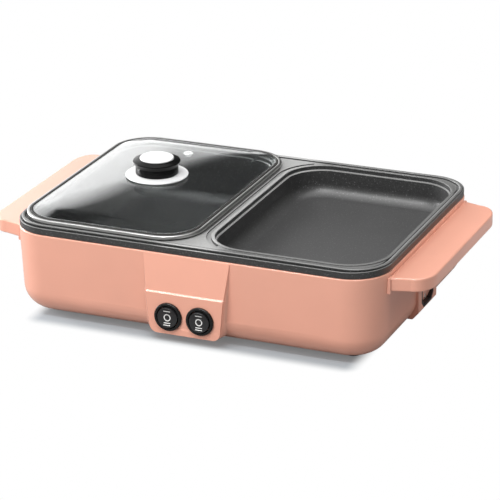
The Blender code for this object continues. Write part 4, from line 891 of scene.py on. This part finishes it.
def glass_shape():
    """Levels of the glass, from its lower middle out round its edge to its upper middle."""
    edge, base = BAND_WIDE + SEAL_WIDE + 2 * GAP, shelf_top + GAP + GLASS_THICK
    top = []
    for step in range(BORDER_STEPS + 1):
        share = step / BORDER_STEPS
        inset = edge + BORDER * share
        slope = EDGE_SLOPE + (CREASE_SLOPE - EDGE_SLOPE) * share / 2
        height = base + BORDER * share * slope
        top.append((LID_HALF_X - inset, LID_HALF_Y - inset, LID_CORNER - inset, height))
    half_x, half_y, corner, height = top[-1]
    for step in range(1, CROWN_STEPS):
        share = 1 - step / CROWN_STEPS
        rounder = (corner + (half_x - corner) * (1 - share) ** 0.5) * share
        top.append((half_x * share, half_y * share, rounder, height + CROWN * (1 - share ** 2)))
    bottom = [(x, y, corner, height - GLASS_THICK) for x, y, corner, height in reversed(top)]
    edge_x, edge_y, edge_corner, edge_high = top[0]
    ground = [(edge_x, edge_y, edge_corner, edge_high - GROUND_EDGE),
              (edge_x - GROUND_EDGE, edge_y - GROUND_EDGE, edge_corner - GROUND_EDGE, edge_high)]
    return bottom + ground + top[1:]


glass_levels = glass_shape()
crown_z = glass_levels[-1][3]
glass = stack("lid_pane", glass_levels, centre=lid_middle, sharp=60)
KNOB_BORE, VENT_BORE, VENT_X, VENT_Y = 2.2, 3.1, LID_X, 62.5
carve(glass, bar("bore_tool", KNOB_BORE, (LID_X, 0, LID_LOW), (LID_X, 0, crown_z + 1)))
carve(glass, bar("bore_tool", VENT_BORE, (VENT_X, VENT_Y, LID_LOW), (VENT_X, VENT_Y, crown_z + 1)))
dress(glass, lid_clear, "lid", "glass", "lid_glass")
print("glass crown at", round(crown_z, 2), "mm")

# %% [markdown]
# The knob is turned, so each of its pieces is one profile spun about the lid's middle: a
# polished disc, a black body with two grooves round its waist and a wider head, and a
# polished cap let into the head.

# %% Knob
DISC_RADIUS, DISC_THICK, WAIST_RADIUS, WAIST_HIGH = 25.5, 1.6, 17.35, 6.5
HEAD_RADIUS, HEAD_HIGH, KNOB_HIGH, CAP_RADIUS, CAP_SEAT, CAP_RISE = 19.25, 10.2, 12.5, 13.8, 1.6, 1.4
WAIST_GROOVES, GROOVE_RADIUS, SCREW_REACH = (4.6, 2.9), 0.35, 9.7
seat = crown_z + GAP
disc_top = seat + DISC_THICK
disc = [(KNOB_BORE, disc_top), (20.0, disc_top), (22.6, disc_top - 0.25)]
disc += arc(DISC_RADIUS - 0.7, seat + 0.7, 0.7, 60, -90, 6) + [(KNOB_BORE, seat), (KNOB_BORE, disc_top)]
dress(spin("knob_disc", disc, (LID_X, 0, 0)), chrome_painted_white, "lid", "chrome", "knob_base")
foot = disc_top + GAP
cap_seat, head_z, knob_top = foot + KNOB_HIGH - CAP_SEAT, foot + HEAD_HIGH, foot + KNOB_HIGH
body = [(0, cap_seat), (CAP_RADIUS + GAP, cap_seat), (CAP_RADIUS + GAP, knob_top - 0.2)]
body += [(CAP_RADIUS + 0.5, knob_top), (CAP_RADIUS + 1.0, knob_top)]
body += arc(HEAD_RADIUS - 0.8, head_z, 0.8, 50, -60, 6)
body += [(WAIST_RADIUS + 0.5, foot + WAIST_HIGH + 0.6)]
body += arc(WAIST_RADIUS + 0.4, foot + WAIST_HIGH, 0.4, 90, 180, 3)
for groove_z in WAIST_GROOVES:
    body += arc(WAIST_RADIUS, foot + groove_z, GROOVE_RADIUS, 90, 270, 6)
body += arc(WAIST_RADIUS - 0.5, foot + 0.5, 0.5, 0, -90, 4)
screw_end = seat + SCREW_REACH
body += [(KNOB_BORE, foot), (KNOB_BORE, screw_end + GAP), (0, screw_end + GAP)]
dress(spin("knob_grip", body, (LID_X, 0, 0), steps=96), deep_black, "lid", "black_plastic", "knob_body")
cap_top = knob_top + CAP_RISE
cap = [(0, cap_top), (5.0, cap_top - 0.08), (9.5, cap_top - 0.3), (12.2, cap_top - 0.62)]
cap += arc(CAP_RADIUS - 0.8, cap_top - CAP_RISE + 0.1, 0.8, 60, 0, 5)
cap += [(CAP_RADIUS, cap_seat + GAP), (0, cap_seat + GAP)]
dress(spin("knob_button", cap, (LID_X, 0, 0), steps=96), chrome_painted_white, "lid", "chrome", "knob_cap")
print("knob reaches", round(cap_top, 2), "mm")

# %% [markdown]
# The steam vent is a small eyelet pressed through the glass behind the knob. It is a tube
# with a rolled collar, so it is spun like the knob, and its height follows the crown.

# %% Steam vent
VENT_HOLE, VENT_TUBE = 1.6, 2.8
crown_half = LID_HALF_Y - BAND_WIDE - SEAL_WIDE - 2 * GAP - BORDER
collar = crown_z - CROWN * (VENT_Y / crown_half) ** 2 + 0.1
low, high = collar - GLASS_THICK - 1.2, collar + 0.9
eyelet = [(VENT_HOLE, high - 0.2), (VENT_HOLE + 0.2, high)] + arc(3.3, high - 0.7, 0.7, 90, -40, 6)
eyelet += [(VENT_TUBE, collar), (VENT_TUBE, low), (VENT_HOLE, low), (VENT_HOLE, high - 0.2)]
vent = spin("steam_vent", eyelet, (VENT_X, VENT_Y, 0), steps=36)
dress(vent, chrome_painted_white, "lid", "chrome", "vent_eyelet")
print("vent stands", round(high - collar, 2), "mm above its collar")

# %% [markdown]
# Each switch is a standard round rocker, hollowed across so that a finger finds the pressed
# side. The marks are printed on the hollow: one bar above for the first heat, a ring for off,
# and two bars below for the second. An image could carry them, but thin pieces laid on the
# hollow stay crisp at any size.

# %% Switch sizes and marks
SWITCH_FLANGE, FLANGE_PROUD, SWITCH_WELL, BARREL = 11.5, 2.0, 7.5, 14.0
ROCKER_RADIUS, ROCKER_CLEAR, ROCKER_THICK, ROCKER_PROUD, ROCKER_EDGE = 8.25, 0.8, 6.2, 1.6, 0.5
DISH_RADIUS, DISH_DEEP = 22.0, 1.4
MARK_LIFT, MARK_SINK = 0.05, 0.03
RING_RADII, BAR_LONG, BARS = (2.9, 2.15), 5.6, ((5.35, 0.65), (-4.35, 0.6), (-6.0, 0.6))
flange_front = PANEL_FACE + GAP + FLANGE_PROUD
rocker_front = flange_front + ROCKER_PROUD
dish_centre = rocker_front + DISH_RADIUS - DISH_DEEP


def dish_y(z):
    """How far forward the rocker's hollow face stands at a height above its middle."""
    return min(dish_centre - math.sqrt(DISH_RADIUS ** 2 - z ** 2), rocker_front)


def printed_mark(name, outline, place, body):
    """A printed mark: points of X and Z laid on the hollow face, and given a little thickness."""
    work = bmesh.new()
    front, rear = [[work.verts.new((place + x, MIDDLE_Y - dish_y(z) - lift, SWITCH_Z + z))
                    for x, z in outline] for lift in (MARK_LIFT, -MARK_SINK)]
    half, is_bar = len(outline) // 2, name.startswith("bar")
    for index in range(half - is_bar):
        after, over, over_after = (index + 1) % half, half + index, half + (index + 1) % half
        work.faces.new((front[index], front[after], front[over_after], front[over]))
        work.faces.new((rear[index], rear[over], rear[over_after], rear[after]))
        work.faces.new((front[index], rear[index], rear[after], front[after]))
        work.faces.new((front[over], front[over_after], rear[over_after], rear[over]))
    for index in (0, half - 1) if is_bar else ():
        work.faces.new((front[index], front[half + index], rear[half + index], rear[index]))
    return dress(finish_mesh(name, work), white_print, body, "black_plastic")


def bar_outline(middle, length, thick):
    """A bar as its lower and then its upper edge."""
    steps = [length * (share / 8 - 0.5) for share in range(9)]
    return [(x, middle - thick / 2) for x in steps] + [(x, middle + thick / 2) for x in steps]


def ring_outline(outer, inner_radius):
    """A ring as its outer and then its inner edge."""
    return arc(0, 0, outer, 0, 360, 48)[:-1] + arc(0, 0, inner_radius, 0, 360, 48)[:-1]


# %% [markdown]
# A switch's body is turned: a barrel, a rounded flange and a round well. The rocker is turned
# too, then hollowed with a large cylinder that lies across it, and given its pivot pin. The
# rocker and its marks ride on their own body, so that they tip together.

# %% Switches
PIVOT_DEEP, PIN_HALF, PIN_RADIUS = 2.6, 9.4, 1.1
for sign, word in ((-1, "left"), (1, "right")):
    x, carrier = sign * SWITCH_X, f"rocker_{word}"
    front, well, barrel = GAP + FLANGE_PROUD, ROCKER_RADIUS + ROCKER_CLEAR, SWITCH_HOLE - GAP
    profile = [(0, front - SWITCH_WELL), (well, front - SWITCH_WELL), (well, front - 0.7)]
    profile += [(well + 0.25, front - 0.2), (well + 0.7, front)]
    profile += arc(SWITCH_FLANGE - 1.2, front - 1.2, 1.2, 80, 0, 8)
    profile += [(SWITCH_FLANGE, GAP), (barrel, GAP), (barrel, -BARREL), (0, -BARREL)]
    shell = spin(f"switch_body_{word}", profile, (x, -PANEL_FACE, SWITCH_Z), "-Y", 96)
    dress(shell, black_gloss, "cooker", "black_plastic", f"switch_bezel_{word}")
    button = [(0, rocker_front - ROCKER_THICK), (ROCKER_RADIUS, rocker_front - ROCKER_THICK)]
    button += arc(ROCKER_RADIUS - ROCKER_EDGE, rocker_front - ROCKER_EDGE, ROCKER_EDGE, 0, 90, 4)
    button += [(0, rocker_front)]
    rocker = spin(f"rocker_button_{word}", button, (x, 0, SWITCH_Z), "-Y", 96)
    ends = [(x + end, -dish_centre, SWITCH_Z) for end in (-20, 20)]
    carve(rocker, bar("hollow_tool", DISH_RADIUS, *ends, 240))
    ends = [(x + end, PIVOT_DEEP - flange_front, SWITCH_Z) for end in (-PIN_HALF, PIN_HALF)]
    carve(rocker, bar("pin_tool", PIN_RADIUS, *ends, 24), "UNION")
    dress(rocker, black_satin, carrier, "black_plastic", carrier)
    printed_mark(f"ring_{word}", ring_outline(*RING_RADII), x, carrier)
    for number, (middle, thick) in enumerate(BARS, 1):
        printed_mark(f"bar_{number}_{word}", bar_outline(middle, BAR_LONG, thick), x, carrier)
print("rocker face stands", round(rocker_front - PANEL_FACE, 2), "mm proud of the panel")

# %% [markdown]
# Four rubber feet keep the casing 3 mm off the table. Each has a rounded sole with a shallow
# hollow, and a peg that plugs into the casing. One profile makes all four, at the places
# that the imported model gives.

# %% Feet
SOLE_HOLLOW, PEG_RADIUS = 3.4, 2.0
for number in range(1, 5):
    low_corner, high_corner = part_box(f"foot_{number}")
    middle = (low_corner + high_corner) / 2 / MM
    radius, sole, peg_top = (high_corner.x - low_corner.x) / 2 / MM, BASE_Z - GAP, high_corner.z / MM
    section = [(0, 0.5), (SOLE_HOLLOW, 0.5), (SOLE_HOLLOW + 0.4, 0.0)]
    section += arc(radius - 0.8, 0.8, 0.8, -90, 0, 5)
    section += arc(radius - 0.4, sole - 0.4, 0.4, 0, 90, 4)
    section += [(PEG_RADIUS, sole), (PEG_RADIUS, peg_top), (0, peg_top)]
    foot_pad = spin(f"rubber_foot_{number}", section, (middle.x, middle.y - MIDDLE_Y, 0), steps=48)
    dress(foot_pad, black_rubber, "cooker", "rubber", f"foot_{number}")
print("feet made:", number)

# %% [markdown]
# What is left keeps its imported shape, because only its finish can be bettered: the bottom
# cover and its screws, and the heaters, thermostats, fuse, shield and wires inside.

# %% Hidden parts
keeps = {
    plain_steel: ["knob_screw", "bottom_cover", "pot_thermostat", "grill_thermostat"],
    tray_steel: ["heat_shield"],
    heater_sheath: ["pot_element", "grill_element"],
    pin_brass: ["switch_terminals_left", "switch_terminals_right", "thermal_fuse"],
    white_ceramic: ["terminal_block"],
    lead_finish["brown"]: ["live_lead"],
    lead_finish["blue"]: ["neutral_lead"],
    lead_finish["green"]: ["earth_lead"],
}
for group in ("cover_screw", "element_clip", "element_nut", "handle_screw"):
    keeps[plain_steel] += [name for name in nodes if name.startswith(group)]
for finish, names in keeps.items():
    for name in names:
        for place in nodes[name].material_slots:
            place.material = finish.material
print("packed pieces with a new finish:", sum(len(names) for names in keeps.values()))
